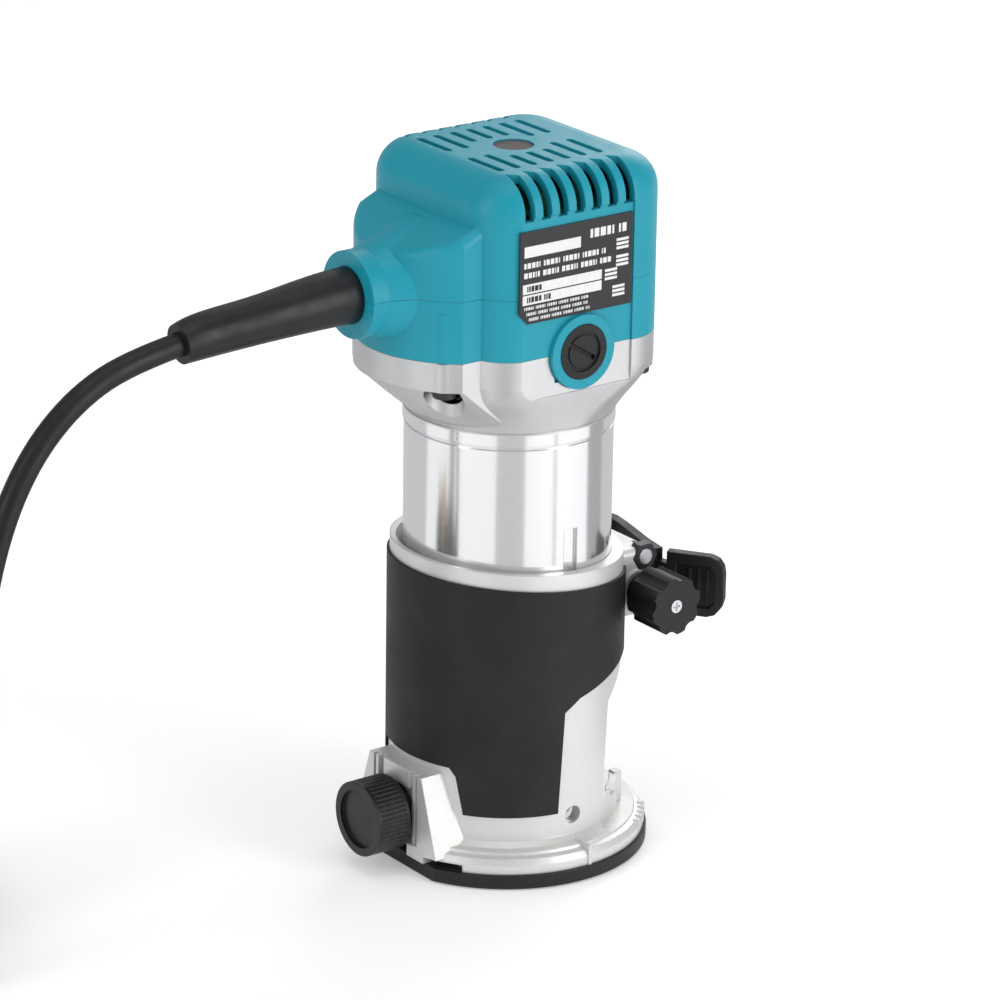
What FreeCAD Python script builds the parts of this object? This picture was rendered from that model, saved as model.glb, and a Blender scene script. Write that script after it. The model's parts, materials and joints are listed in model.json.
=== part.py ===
import FreeCAD, Part

import math
import os

from FreeCAD import Matrix, Vector

os.makedirs("parts", exist_ok=True)

# ---------------------------------------------------------------------------
# Driving dimensions, in millimetres.
# The origin is on the motor axis, at the underside of the base plate. The
# cord leaves towards +Y and the height knob is on the -Y side.
# ---------------------------------------------------------------------------
TUBE_R = 32.5            # outside radius of the motor tube
TUBE_BORE_R = 29.5       # inside radius of the motor tube
TUBE_BOTTOM = 62.0       # lower end of the motor tube, with the motor raised
TUBE_TOP = 144.4         # where the tube starts to flare into the head
RIM_Z = 160.0            # lower edge of the upright rim of the metal housing
SEAM_Z = 170.7           # joint between the metal housing and the plastic head
PARTING_Z = 190.0        # joint between the two plastic head shells
HEAD_TOP = 226.5         # top of the tool
HEAD_HALF_X = 36.0       # half width of the head
HEAD_FRONT = -35.4       # front face of the head
HEAD_REAR = 32.5         # rear face of the head
HEAD_CORNER = 15.0       # upright corners of the head
SHOULDER_R = 11.0        # rounded upper edge of the head
NOSE_Y = 18.0            # centre of the rounded rear nose
NOSE_R = 33.5            # radius of the rear nose
NOSE_HALF_X = 27.0       # half width of the rear nose between its flat sides
SHELL = 2.6              # wall of the plastic shells
GUARD_Z = 189.5          # height where the cord guard leaves the head
GUARD_Y = 60.8           # mouth of the cord collar
GUARD_R = 8.7            # cord guard at the mouth
CORD_R = 3.75            # mains lead

SPINDLE_R = 5.0          # spindle at the bearings
NUT_BOTTOM = 40.0        # lower face of the collet nut
NUT_FLATS = 22.0         # collet nut across flats
SHANK_R = 3.175          # quarter inch cutter shank

BORE_R = 32.55           # bore of the base sleeve, a running fit on the tube
SLEEVE_R = 36.5          # outside radius of the base sleeve
GRIP_R = 37.4            # outside radius of the rubber grip
GRIP_SEAT_R = 35.4       # seat of the grip in the sleeve
RING_TOP = 99.05         # top of the sleeve on the axis
RING_SLOPE = 0.0824      # rise of the sleeve's top towards the rear
PLATE_R = 45.75          # base plate
PLATE_T = 4.6            # thickness of the base plate
FLAT_Y = 41.0            # flat rear edge of the base plate
FLANGE_TOP = 10.4        # upper face of the flange rim
OPENING_R = 17.0         # hole for the cutter in the base plate

RACK_MODULE = 0.8        # module of the height rack and its pinion
PINION_TEETH = 10        # teeth of the height pinion
PINION_Y = -36.0         # pinion axis
PINION_Z = 81.5
LUG_FACE_Y = -38.0       # outer face of the clamp lugs
LUG_HALF_X = 21.0        # outer ends of the clamp lugs
LUG_TOP = 94.7
LUG_BOTTOM = 73.0
CLAMP_SLIT = 3.0         # width of the slit between the lugs
CLAMP_BOLT_Z = 91.6
CLAMP_BOLT_Y = -38.6
LEVER_PIVOT = (27.5, CLAMP_BOLT_Y)
LEVER_TOP = 92.5

GUIDE_Z = 18.0           # axis of the guide clamp screw
GUIDE_FACE_Y = 42.0      # rear face of the guide clamp block

X_AXIS = Vector(1, 0, 0)
Y_AXIS = Vector(0, 1, 0)
Z_AXIS = Vector(0, 0, 1)


# ---------------------------------------------------------------------------
# Small builders
# ---------------------------------------------------------------------------
def cylinder(radius, start, end):
    """A round bar between two points."""
    start = Vector(*start)
    axis = Vector(*end) - start
    return Part.makeCylinder(radius, axis.Length, start, axis)


def cone(radius_a, radius_b, start, end):
    """A tapered round bar between two points."""
    start = Vector(*start)
    axis = Vector(*end) - start
    return Part.makeCone(radius_a, radius_b, axis.Length, start, axis)


def tube(outer, inner, start, end):
    """A round tube between two points."""
    return cylinder(outer, start, end).cut(cylinder(inner, start, end))


def box(x0, x1, y0, y1, z0, z1):
    """An upright block between two corners."""
    return Part.makeBox(x1 - x0, y1 - y0, z1 - z0, Vector(x0, y0, z0))


def prism(points, direction):
    """A flat outline pushed along a direction."""
    corners = [Vector(*p) for p in points]
    face = Part.Face(Part.makePolygon(corners + corners[:1]))
    return face.extrude(Vector(*direction))


def hexagon(flats, start, end):
    """A hexagonal bar between two points."""
    start = Vector(*start)
    axis = Vector(*end) - start
    side = axis.cross(Z_AXIS) if abs(axis.normalize().z) < 0.9 else X_AXIS
    length = (Vector(*end) - start).Length
    radius = flats / math.sqrt(3)
    side = Vector(side).normalize() * radius
    turn = FreeCAD.Rotation(axis, 60)
    corners = [start + side]
    for _ in range(5):
        side = turn.multVec(side)
        corners.append(start + side)
    face = Part.Face(Part.makePolygon(corners + corners[:1]))
    return face.extrude(axis * length)


def fuse(shapes):
    """One solid out of several that overlap."""
    first = shapes[0]
    whole = first.fuse(shapes[1:]) if len(shapes) > 1 else first
    return whole.removeSplitter()


def cut(shape, tools):
    """A shape with every tool removed."""
    return shape.cut(Part.makeCompound(tools)) if tools else shape


def mirror_x(shape):
    """The same shape on the other side of the YZ plane."""
    return shape.mirror(Vector(0, 0, 0), X_AXIS)


def spun(shape, angle, centre=(0, 0, 0), axis=Z_AXIS):
    """A copy turned about an axis."""
    copy = shape.copy()
    copy.rotate(Vector(*centre), axis, angle)
    return copy


def revolved(points, origin=(0, 0, 0), axis=Z_AXIS):
    """A turned solid: radius and height pairs, spun about an upright axis, then laid along the axis."""
    corners = [Vector(r, 0, h) for r, h in points]
    face = Part.Face(Part.makePolygon(corners + corners[:1]))
    solid = face.revolve(Vector(0, 0, 0), Z_AXIS, 360)
    solid.Placement = FreeCAD.Placement(Vector(*origin), FreeCAD.Rotation(Z_AXIS, axis))
    return solid


def rounded(shape, radius, wanted):
    """Fillet the edges that a test picks; each edge's middle point is passed to the test."""
    edges = []
    for edge in shape.Edges:
        middle = edge.valueAt((edge.FirstParameter + edge.LastParameter) / 2)
        if wanted(edge, middle):
            edges.append(edge)
    return shape.makeFillet(radius, edges)


def upright(edge, _middle):
    """True for a straight vertical edge."""
    if len(edge.Vertexes) < 2:
        return False
    a, b = edge.Vertexes[0].Point, edge.Vertexes[1].Point
    return abs(a.x - b.x) + abs(a.y - b.y) < 1e-4 and abs(a.z - b.z) > 1e-3


def round_block(half_x, front, rear, z0, z1, corner):
    """An upright block with rounded vertical corners."""
    block = box(-half_x, half_x, front, rear, z0, z1)
    return rounded(block, corner, upright)


def pill(x0, x1, y0, y1, z0, z1):
    """A slot cutter with round ends, along X."""
    radius = (y1 - y0) / 2
    middle = (y0 + y1) / 2
    ends = [cylinder(radius, (x, middle, z0), (x, middle, z1)) for x in (x0 + radius, x1 - radius)]
    return fuse([box(x0 + radius, x1 - radius, y0, y1, z0, z1)] + ends)


# ---------------------------------------------------------------------------
# Motor head: outlines shared by the shells
# ---------------------------------------------------------------------------
SCREW_SPOTS = [(-20.0, 39.5, 161.5), (20.0, 39.5, 161.5), (-28.5, -27.5, 159.5), (28.5, -27.5, 159.5)]
BRUSH_Z = 170.5
BRUSH_RING_R = 11.7
BRUSH_CAP_R = 8.6
SLOT_PITCH = 6.2
SLOT_YS = [20.1 - SLOT_PITCH * i for i in range(7)]
SLOT_W = 3.3
LABEL = (-18.4, 23.8, 182.5, 211.3)


def nose_block(z0, z1, inset):
    """The rear nose: a round end between two flat sides."""
    half = NOSE_HALF_X - inset
    round_end = cylinder(NOSE_R - inset, (0, NOSE_Y, z0), (0, NOSE_Y, z1))
    return round_end.common(box(-half, half, 0, NOSE_Y + NOSE_R, z0, z1))


def head_prism(z0, z1, inset):
    """The lower head outline, with the rounded nose at the rear."""
    body = round_block(HEAD_HALF_X - inset, HEAD_FRONT + inset, HEAD_REAR - inset, z0, z1,
                       HEAD_CORNER - inset)
    return body.fuse(nose_block(z0, z1, inset)).removeSplitter()


def collar(inset):
    """The tapered boss that the cord leaves through, along +Y."""
    taper = cone(21 - inset, 13.4 - inset, (0, 36, GUARD_Z), (0, 55, GUARD_Z))
    mouth = cylinder(13.4 - inset, (0, 54.9, GUARD_Z), (0, GUARD_Y, GUARD_Z))
    return taper.fuse(mouth)


def head_section(z, share):
    """One outline of the flare, from the round tube (0) to the square head (1)."""
    half = TUBE_R + share * (HEAD_HALF_X - TUBE_R)
    front = -TUBE_R + share * (HEAD_FRONT + TUBE_R)
    rear = TUBE_R + share * (HEAD_REAR - TUBE_R)
    corner = TUBE_R - 0.1 + share * (HEAD_CORNER - TUBE_R + 0.1)
    return rounded_wire(half, front, rear, z, corner)


def rounded_wire(half, front, rear, z, corner):
    """A level rounded rectangle as a wire of four sides and four arcs."""
    edges = []
    stops = [(half, rear, 0), (-half, rear, 90), (-half, front, 180), (half, front, 270)]
    arcs = []
    for x, y, start in stops:
        centre = Vector(x - math.copysign(corner, x), y - math.copysign(corner, y), z)
        points = [centre + Vector(math.cos(math.radians(a)), math.sin(math.radians(a)), 0) * corner
                  for a in (start, start + 45, start + 90)]
        arcs.append(points)
    for i, (a, b, c) in enumerate(arcs):
        edges.append(Part.Arc(a, b, c).toShape())
        edges.append(Part.makeLine(c, arcs[(i + 1) % 4][0]))
    return Part.Wire(edges)


FLARE = [(TUBE_TOP, 0.0), (149.6, 0.30), (154.9, 0.68), (RIM_Z, 0.96), (163.0, 1.0)]


def flare(inset):
    """The bell between the tube and the rim, with the nose growing out of its rear."""
    sections = [head_section(z, share) for z, share in FLARE]
    bell = Part.makeLoft(sections, True, False)
    low = Part.Wire(Part.makeCircle(TUBE_R - 0.5, Vector(0, 0.3, TUBE_TOP + 1), Z_AXIS))
    mid = Part.Wire(Part.makeCircle(NOSE_R - 0.4, Vector(0, 9.0, 153.5), Z_AXIS))
    top = Part.Wire(Part.makeCircle(NOSE_R, Vector(0, NOSE_Y, RIM_Z + 2), Z_AXIS))
    nose = Part.makeLoft([low, mid, top], True, False)
    between = box(-NOSE_HALF_X, NOSE_HALF_X, 0, NOSE_Y + NOSE_R + 1, TUBE_TOP, RIM_Z + 3)
    whole = bell.fuse(nose.common(between))
    if inset:
        shrink = Matrix()
        scale = 1 - inset / TUBE_R
        shrink.scale(scale, scale, 1)
        whole = whole.transformGeometry(shrink)
    return whole


def side_recess():
    """The slightly sunk band down each side that holds the slots and the label."""
    return [box(s * 36.3 - 1.0, s * 36.3 + 1.0, -19.0, 24.2, RIM_Z - 2, PARTING_Z + 25) for s in (-1, 1)]


def make_motor_housing():
    """Aluminium tube, flare and rim in one casting."""
    barrel = cylinder(TUBE_R, (0, 0, TUBE_BOTTOM), (0, 0, TUBE_TOP + 0.5))
    ring = revolved([(20, 140.6), (TUBE_R + 0.45, 140.6), (TUBE_R + 0.45, 144.9), (20, 144.9)])
    shape = fuse([barrel, ring, flare(0), head_prism(RIM_Z + 1.5, SEAM_Z, 0)])
    shape = cut(shape, side_recess())
    cavity = cylinder(TUBE_BORE_R, (0, 0, 76), (0, 0, 150))
    upper = flare(3.2)
    top = head_prism(RIM_Z, SEAM_Z + 1, 3.0)
    seat = cylinder(11.05, (0, 0, 64.5), (0, 0, 77))
    shaft_hole = cylinder(8.0, (0, 0, 60), (0, 0, 66))
    shape = cut(shape, [cavity, upper, top, seat, shaft_hole])
    pillars = [cylinder(4.6, (x, y, z), (x, y, SEAM_Z - 0.2)) for x, y, z in SCREW_SPOTS]
    shape = fuse([shape] + pillars)
    pockets = [cylinder(6.2, (x, y, 140), (x, y, z)) for x, y, z in SCREW_SPOTS]
    holes = [cylinder(2.1, (x, y, 150), (x, y, SEAM_Z + 1)) for x, y, z in SCREW_SPOTS]
    nicks = [cylinder(BRUSH_RING_R + 0.15, (s * 27, 0, BRUSH_Z), (s * 40, 0, BRUSH_Z)) for s in (-1, 1)]
    way = [box(-40, 40, -9.6, 9.6, 162, 172)]
    groove = [box(-TUBE_R - 1, -TUBE_R + 1.2, -2.5, 2.5, TUBE_BOTTOM - 1, 112.3)]
    slot = [box(-3.0, 3.0, -TUBE_R - 1, -30.2, 66.0, 128.0)]
    line = [tube(TUBE_R + 2, TUBE_R - 0.35, (0, 0, 139.4), (0, 0, 140.0))]
    vents = [spun(box(20, 34, -4, 4, 66, 71), 45 + 90 * i) for i in range(4)]
    shape = cut(shape, pockets + holes + nicks + way + groove + slot + line)
    return cut(shape, vents)


def make_motor_end_housing():
    """Lower plastic shell, between the metal rim and the parting line."""
    outer = cut(head_prism(SEAM_Z + 0.05, PARTING_Z, 0), side_recess())
    boss = box(-21, 21, 20, 44, 178, PARTING_Z)
    lower_collar = collar(0).common(box(-40, 40, 20, 80, 170, PARTING_Z))
    rings = [cylinder(BRUSH_RING_R, (s * 24, 0, BRUSH_Z), (s * (HEAD_HALF_X + 0.8), 0, BRUSH_Z))
             for s in (-1, 1)]
    shape = fuse([outer, boss, lower_collar] + rings)
    hollow = head_prism(SEAM_Z - 1, PARTING_Z + 1, SHELL).common(box(-40, 40, -40, 48, 170, 191))
    shape = cut(shape, [hollow])
    sleeves = [cylinder(BRUSH_RING_R, (s * 22, 0, BRUSH_Z), (s * 34, 0, BRUSH_Z)) for s in (-1, 1)]
    towers = [cylinder(4.4, (x, y, SEAM_Z + 0.05), (x, y, 186)) for x, y, z in SCREW_SPOTS]
    shelf = tube(18.5, 11.05, (0, 0, 178), (0, 0, 186.5))
    web = box(-33.6, 33.6, -3, 3, 180, 186).cut(cylinder(11.05, (0, 0, 178), (0, 0, 187)))
    shape = fuse([shape, shelf, web] + sleeves + towers)
    bores = [cylinder(BRUSH_CAP_R + 0.1, (s * 29, 0, BRUSH_Z), (s * 40, 0, BRUSH_Z)) for s in (-1, 1)]
    ducts = [box(s * 16.5 - 6.0, s * 16.5 + 6.0, -4.6, 4.6, 166.9, 174.1) for s in (-1, 1)]
    ducts += [box(min(s * 21, s * 30), max(s * 21, s * 30), -4.6, 4.6, 166.9, 174.1) for s in (-1, 1)]
    pilots = [cylinder(1.7, (x, y, SEAM_Z - 1), (x, y, 184)) for x, y, z in SCREW_SPOTS]
    passage = [cylinder(GUARD_R + 0.05, (0, 44, GUARD_Z), (0, 70, GUARD_Z))]
    passage += [cylinder(11.0, (0, 46.5, GUARD_Z), (0, 50.5, GUARD_Z))]
    passage += [cylinder(7.4, (0, 30, GUARD_Z), (0, 47, GUARD_Z))]
    below = [box(-40, 40, -12, 12, 150, SEAM_Z + 0.05).cut(
        fuse([cylinder(BRUSH_RING_R, (-40, 0, BRUSH_Z), (40, 0, BRUSH_Z))]))]
    return cut(shape, bores + ducts + pilots + passage + below)


def slot_cutters():
    """Side vents that wrap over the shoulder, with slanted upper ends."""
    tools = []
    for y in SLOT_YS:
        a, b = y - SLOT_W / 2, y + SLOT_W / 2
        outline = [(-40, a, 214), (-27.0, a, 214), (-24.6, b, 214), (-40, b, 214)]
        left = prism(outline, (0, 0, 20))
        tools += [left, mirror_x(left)]
    return tools


def grille_cutters():
    """Slots in the top, in two rows with a round plug between them."""
    through = []
    blind = []
    for i, y in enumerate(SLOT_YS):
        near = 9.0 if abs(y - 1.5) < 9 else 4.5
        for s in (-1, 1):
            x0, x1 = sorted((s * near, s * 21.5))
            if i < 4:
                through.append(pill(x0, x1, y - 1.2, y + 1.2, 218, 230))
            else:
                blind.append(pill(x0, x1, y - 1.2, y + 1.2, HEAD_TOP - 1.1, 230))
    return through + blind


def make_top_cover():
    """Upper plastic shell, with the vents and the upper half of the cord boss."""
    block = round_block(HEAD_HALF_X, HEAD_FRONT, HEAD_REAR, PARTING_Z + 0.05, HEAD_TOP, HEAD_CORNER)
    block = rounded(block, SHOULDER_R, lambda e, m: m.z > HEAD_TOP - 0.01)
    hollow = round_block(HEAD_HALF_X - SHELL, HEAD_FRONT + SHELL, HEAD_REAR - SHELL, PARTING_Z - 1,
                         HEAD_TOP - SHELL, HEAD_CORNER - SHELL)
    hollow = rounded(hollow, SHOULDER_R - SHELL, lambda e, m: m.z > HEAD_TOP - SHELL - 0.01)
    roof = [(-30, 24, PARTING_Z + 0.05), (-30, 56, PARTING_Z + 0.05), (-30, 56, 201), (-30, 24, 215.5)]
    boss = nose_block(PARTING_Z + 0.05, 216, 0).common(prism(roof, (60, 0, 0)))
    boss = rounded(boss, 3, lambda e, m: m.z > 201 and m.y > 30)
    upper_collar = collar(0).common(box(-40, 40, 26, 80, PARTING_Z + 0.05, 230))
    shape = fuse([block, boss, upper_collar])
    posts = [cylinder(4.4, (x, y, PARTING_Z + 0.05), (x, y, 212)) for x, y in
             ((-28, 24.6), (28, 24.6), (-28, -27.5), (28, -27.5))]
    shape = fuse([cut(shape, [hollow, box(-18, 18, 24, 41, 180, 203.5)])] + posts)
    pocket = [block.common(box(*sorted((s * 17, s * 18.5)), HEAD_FRONT + 1, -23, 209, HEAD_TOP - 2))
              for s in (-1, 1)]
    shape = fuse([shape] + pocket)
    passage = [cylinder(GUARD_R + 0.05, (0, 41, GUARD_Z), (0, 70, GUARD_Z))]
    passage += [cylinder(11.0, (0, 46.5, GUARD_Z), (0, 50.5, GUARD_Z))]
    passage += [cylinder(3.1, (0, 0, 220), (0, 0, 230)), cylinder(6.3, (0, 0, 225.2), (0, 0, 230))]
    front_face = [box(-9.2, 9.2, -40, -30, 194, 209)]
    dial_gap = [box(-16, 16, -40, -24, 211.5, 219.5)]
    lamp = [cylinder(1.95, (17.0, HEAD_FRONT - 1, 206.0), (17.0, HEAD_FRONT + 5, 206.0))]
    tools = side_recess() + lamp + slot_cutters() + grille_cutters() + passage + front_face + dial_gap
    return cut(shape, tools)


def make_top_plug():
    """Round plug in the middle of the top grille."""
    disc = cylinder(6.2, (0, 0, 225.25), (0, 0, 226.1))
    stem = cylinder(3.0, (0, 0, 221.5), (0, 0, 225.3))
    return fuse([disc, stem])


def make_rating_label():
    """Thin plate in the side recess, with one lower corner cut off."""
    y0, y1, z0, z1 = LABEL
    outline = [(-35.3, y0, z0), (-35.3, y1 - 3.2, z0), (-35.3, y1, z0 + 3.4), (-35.3, y1, z1),
               (-35.3, y0, z1)]
    return prism(outline, (-0.5, 0, 0))


# ---------------------------------------------------------------------------
# Brushes and their holders
# ---------------------------------------------------------------------------
COMMUTATOR_R = 11.0


def make_brush_caps():
    """Screwed caps that close the brush holders, with a slot for a coin."""
    caps = []
    for s in (-1, 1):
        body = cylinder(BRUSH_CAP_R, (s * 30.2, 0, BRUSH_Z), (s * 36.2, 0, BRUSH_Z))
        rim = tube(BRUSH_CAP_R, 6.3, (s * 36.1, 0, BRUSH_Z), (s * 37.0, 0, BRUSH_Z))
        disc = cylinder(5.2, (s * 36.1, 0, BRUSH_Z), (s * 36.7, 0, BRUSH_Z))
        slot = box(s * 36.6 - 1.4, s * 36.6 + 1.4, -0.7, 0.7, BRUSH_Z - 5.4, BRUSH_Z + 5.4)
        slot = spun(slot, -58, (s * 36.6, 0, BRUSH_Z), X_AXIS)
        caps.append(fuse([body, rim, disc]).cut(slot))
    return Part.makeCompound(caps)


def make_brush_holders():
    """Square brass tubes that guide the brushes."""
    parts = []
    for s in (-1, 1):
        x0, x1 = sorted((s * 13.5, s * 29.8))
        outer = box(x0, x1, -4.5, 4.5, 167.0, 174.0)
        parts.append(outer.cut(box(x0 - 1, x1 + 1, -3.6, 3.6, 167.9, 173.1)))
    return Part.makeCompound(parts)


def make_carbon_brushes():
    """Carbon blocks that press on the commutator."""
    parts = []
    for s in (-1, 1):
        x0, x1 = sorted((s * (COMMUTATOR_R + 0.35), s * 22.0))
        block = box(x0, x1, -3.5, 3.5, 168.0, 173.0)
        parts.append(block)
    return Part.makeCompound(parts)


def make_brush_springs():
    """Coil springs that push the brushes."""
    wire_r = 0.3
    coil_r = 1.9
    parts = []
    for s in (-1, 1):
        helix = Part.makeHelix(1.2, 7.2, coil_r)
        section = Part.Wire(Part.makeCircle(wire_r, Vector(coil_r, 0, 0), Y_AXIS))
        spring = Part.Wire(helix).makePipeShell([section], True, True)
        seat = Vector(s * 22.5, 0, BRUSH_Z)
        spring.Placement = FreeCAD.Placement(seat, FreeCAD.Rotation(Z_AXIS, X_AXIS * s))
        parts.append(spring)
    return Part.makeCompound(parts)


# ---------------------------------------------------------------------------
# Electrical parts in the head
# ---------------------------------------------------------------------------
def make_switch_bezel():
    """Frame of the rocker switch in the front face."""
    frame = box(-10.6, 10.6, HEAD_FRONT - 1.0, HEAD_FRONT - 0.05, 192.6, 210.4)
    sleeve = box(-9.1, 9.1, HEAD_FRONT - 0.2, -22, 194.1, 208.9)
    shape = fuse([frame, sleeve])
    return shape.cut(box(-7.4, 7.4, -40, -23.5, 195.3, 207.7))


def make_switch_rocker():
    """Rocker that tips about a cross pin."""
    drum = cylinder(5.7, (-7.0, -30.0, 201.5), (7.0, -30.0, 201.5))
    paddle = box(-7.0, 7.0, -37.6, -32.0, 197.2, 205.8)
    dish = cylinder(14.0, (-8, -50.6, 202.6), (8, -50.6, 202.6))
    return fuse([drum, paddle]).cut(dish)


def make_switch_body():
    """Switch case behind the bezel."""
    case = box(-8.4, 8.4, -21.9, -8.0, 195.2, 207.8)
    tabs = [box(x - 1.4, x + 1.4, -8.1, -3.5, 203.6, 204.4) for x in (-4.2, 4.2)]
    return fuse([case] + tabs)


def make_speed_dial():
    """Thumb wheel for the speed, with a ribbed edge."""
    wheel = cylinder(13.5, (0, -25.0, 212.2), (0, -25.0, 218.8))
    bore = cylinder(2.05, (0, -25.0, 210), (0, -25.0, 220))
    ribs = []
    for i in range(28):
        groove = cylinder(0.55, (13.6, -25.0, 211), (13.6, -25.0, 220))
        ribs.append(spun(groove, 360 / 28 * i, (0, -25.0, 0)))
    return cut(wheel, [bore] + ribs)


def make_controller_board():
    """Circuit board of the speed control, with its parts and the dial's pin."""
    board = box(-22, 22, -22.5, 10, 209.2, 210.8)
    potentiometer = box(-5, 5, -29.5, -20.0, 209.2, 211.0)
    parts = [box(-18, -8, -2, 6, 210.7, 216), box(4, 16, -4, 6, 210.7, 214),
             cylinder(3.5, (-14, -12, 210.7), (-14, -12, 218))]
    return fuse([board, potentiometer] + parts)


def make_dial_pin():
    """Shaft of the potentiometer that the dial turns on."""
    shaft = cylinder(2.0, (0, -25.0, 211.3), (0, -25.0, 220.4))
    return shaft.cut(box(-3, 3, -25.3, -24.7, 219.6, 221))


def make_indicator_lens():
    """Clear window of the power lamp."""
    return cylinder(1.9, (17.0, HEAD_FRONT + 3.0, 206.0), (17.0, HEAD_FRONT - 0.4, 206.0))


# ---------------------------------------------------------------------------
# Cord guard and mains lead
# ---------------------------------------------------------------------------
GUARD_END = (0.0, 120.8, 185.0)
CORD_ROUTE = [(0.0, 120.3, 185.04), (0.0, 138.0, 182.6), (0.0, 155.0, 175.6), (-0.2, 169.5, 163.2),
              (-0.8, 180.5, 146.5), (-1.5, 188.3, 125.0), (-2.2, 192.4, 102.0), (-2.8, 193.9, 80.0),
              (-3.4, 194.2, 60.0), (-3.9, 195.6, 41.5), (-4.1, 200.3, 26.5), (-3.8, 209.3, 14.6),
              (-2.3, 221.3, 7.3), (0.7, 234.5, 4.4)]
COIL_CENTRE = (48.0, 228.0)
COIL_MEAN_R = 42.0
COIL_HALF_W = 10.0
COIL_TOP = 28.8
COIL_GAP = 0.4           # space between the lead's cut end and the coil
COIL_EDGE = 6.0          # rounding of the coil's outline


def tangent_path(points):
    """Straight runs joined by tangent arcs as large as the runs allow."""
    corners = [Vector(*p) for p in points]
    edges = []
    last = corners[0]
    radii = []
    for before, corner, after in zip(corners, corners[1:], corners[2:]):
        back = before - corner
        ahead = after - corner
        reach = 0.45 * min(back.Length, ahead.Length)
        back.normalize()
        ahead.normalize()
        turn = math.pi - back.getAngle(ahead)
        radius = reach / math.tan(turn / 2)
        radii.append(radius)
        start = corner + back * reach
        end = corner + ahead * reach
        middle_dir = back + ahead
        middle_dir.normalize()
        depth = radius / math.cos(turn / 2) - radius
        edges.append(Part.makeLine(last, start))
        edges.append(Part.Arc(start, corner + middle_dir * depth, end).toShape())
        last = end
    edges.append(Part.makeLine(last, corners[-1]))
    return Part.Wire(edges), radii


def lead_tube(points):
    """Round lead along a route, with its path and its bend radii."""
    path, radii = tangent_path(points)
    start = Vector(*points[0])
    section = Part.Wire(Part.makeCircle(CORD_R, start, Vector(*points[1]) - start))
    return path.makePipeShell([section], True, False), path, radii


def inner_lead(extra):
    """The part of the lead that runs inside the head and the guard."""
    bend = Vector(0, GUARD_Y + 6, GUARD_Z)
    heading = Vector(*GUARD_END) - bend
    tip = bend + heading * (1 + extra / heading.Length)
    return lead_tube([(0, 31, GUARD_Z), tuple(bend), tuple(tip)])[0]


def make_cord_guard():
    """Tapered rubber sleeve that droops a little, with a flange held in the head."""
    mouth = Vector(0, GUARD_Y, GUARD_Z)
    droop = Vector(*GUARD_END) - mouth
    sections = [Part.Wire(Part.makeCircle(GUARD_R, Vector(0, y, GUARD_Z), Y_AXIS)) for y in (45.0, 53.0)]
    for share, radius, lift in ((0.02, 8.67, 0.1), (0.3, 8.0, 0.55), (0.6, 7.2, 0.55), (1.0, 6.1, 0.0)):
        heading = Vector(0, 1, -0.02 - 0.11 * share)
        centre = mouth + droop * share + Vector(0, 0, lift)
        sections.append(Part.Wire(Part.makeCircle(radius, centre, heading)))
    sleeve = Part.makeLoft(sections, True, False)
    flange = cylinder(10.8, (0, 46.7, GUARD_Z), (0, 50.3, GUARD_Z))
    return cut(fuse([sleeve, flange]), [inner_lead(2.0)])


def make_cord_inner_end():
    """Inner end of the lead, from the guard's tip to the strain bar."""
    return inner_lead(-1.2)


def make_power_cord():
    """The lead from the guard down to the surface, cut off where it joins the coil."""
    solid, path, radii = lead_tube(CORD_ROUTE)
    print("lead", round(path.Length, 1), "mm, volume ratio",
          round(solid.Volume / (math.pi * CORD_R ** 2 * path.Length), 4))
    print("lead radii", [round(r, 1) for r in radii])
    x, y = COIL_CENTRE
    reach = COIL_MEAN_R + COIL_HALF_W + COIL_GAP
    return solid.cut(cylinder(reach, (x, y, -5), (x, y, COIL_TOP + 11)))


def make_power_cord_coil():
    """Outer shape of the neat coil that holds the rest of the lead."""
    x, y = COIL_CENTRE
    outer = cylinder(COIL_MEAN_R + COIL_HALF_W, (x, y, 0.1), (x, y, COIL_TOP))
    inner = cylinder(COIL_MEAN_R - COIL_HALF_W, (x, y, 0), (x, y, COIL_TOP + 1))
    shape = outer.cut(inner)
    circles = [e for e in shape.Edges if e.Length > 100 and e.BoundBox.ZLength < 0.01]
    return shape.makeFillet(COIL_EDGE, circles)


# ---------------------------------------------------------------------------
# Motor: fixed field and turning armature
# ---------------------------------------------------------------------------
FIELD_Z = (100.0, 138.0)


def make_stator_core():
    """Laminated field frame with two poles."""
    z0, z1 = FIELD_Z
    ring = tube(29.2, 25.0, (0, 0, z0), (0, 0, z1))
    poles = [box(-11, 11, *sorted((s * 17.4, s * 26)), z0, z1) for s in (-1, 1)]
    shoes = tube(19.6, 17.0, (0, 0, z0), (0, 0, z1)).common(
        fuse([box(-16, 16, -20, 20, z0, z1)]))
    shape = fuse([ring, shoes] + poles)
    flats = [box(*sorted((s * 28.2, s * 32)), -10, 10, z0 - 1, z1 + 1) for s in (-1, 1)]
    return cut(shape, flats + [cylinder(17.0, (0, 0, z0 - 1), (0, 0, z1 + 1))])


def make_field_coils():
    """Copper windings around the two poles."""
    z0, z1 = FIELD_Z
    parts = []
    for s in (-1, 1):
        y0, y1 = sorted((s * 20.2, s * 24.4))
        outer = box(-16.5, 16.5, y0, y1, z0 - 5, z1 + 5)
        outer = rounded(outer, 4.5, lambda e, m: abs(abs(m.x) - 16.5) < 0.01 and
                        (abs(m.z - z0 + 5) < 0.01 or abs(m.z - z1 - 5) < 0.01))
        window = box(-11.3, 11.3, y0 - 1, y1 + 1, z0 - 0.3, z1 + 0.3)
        parts.append(outer.cut(window).common(cylinder(24.7, (0, 0, 90), (0, 0, 150))))
    return Part.makeCompound(parts)


def make_fan_baffle():
    """Plastic ring that guides air past the fan."""
    return tube(29.3, 23.0, (0, 0, 90.2), (0, 0, 92.4))


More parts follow.
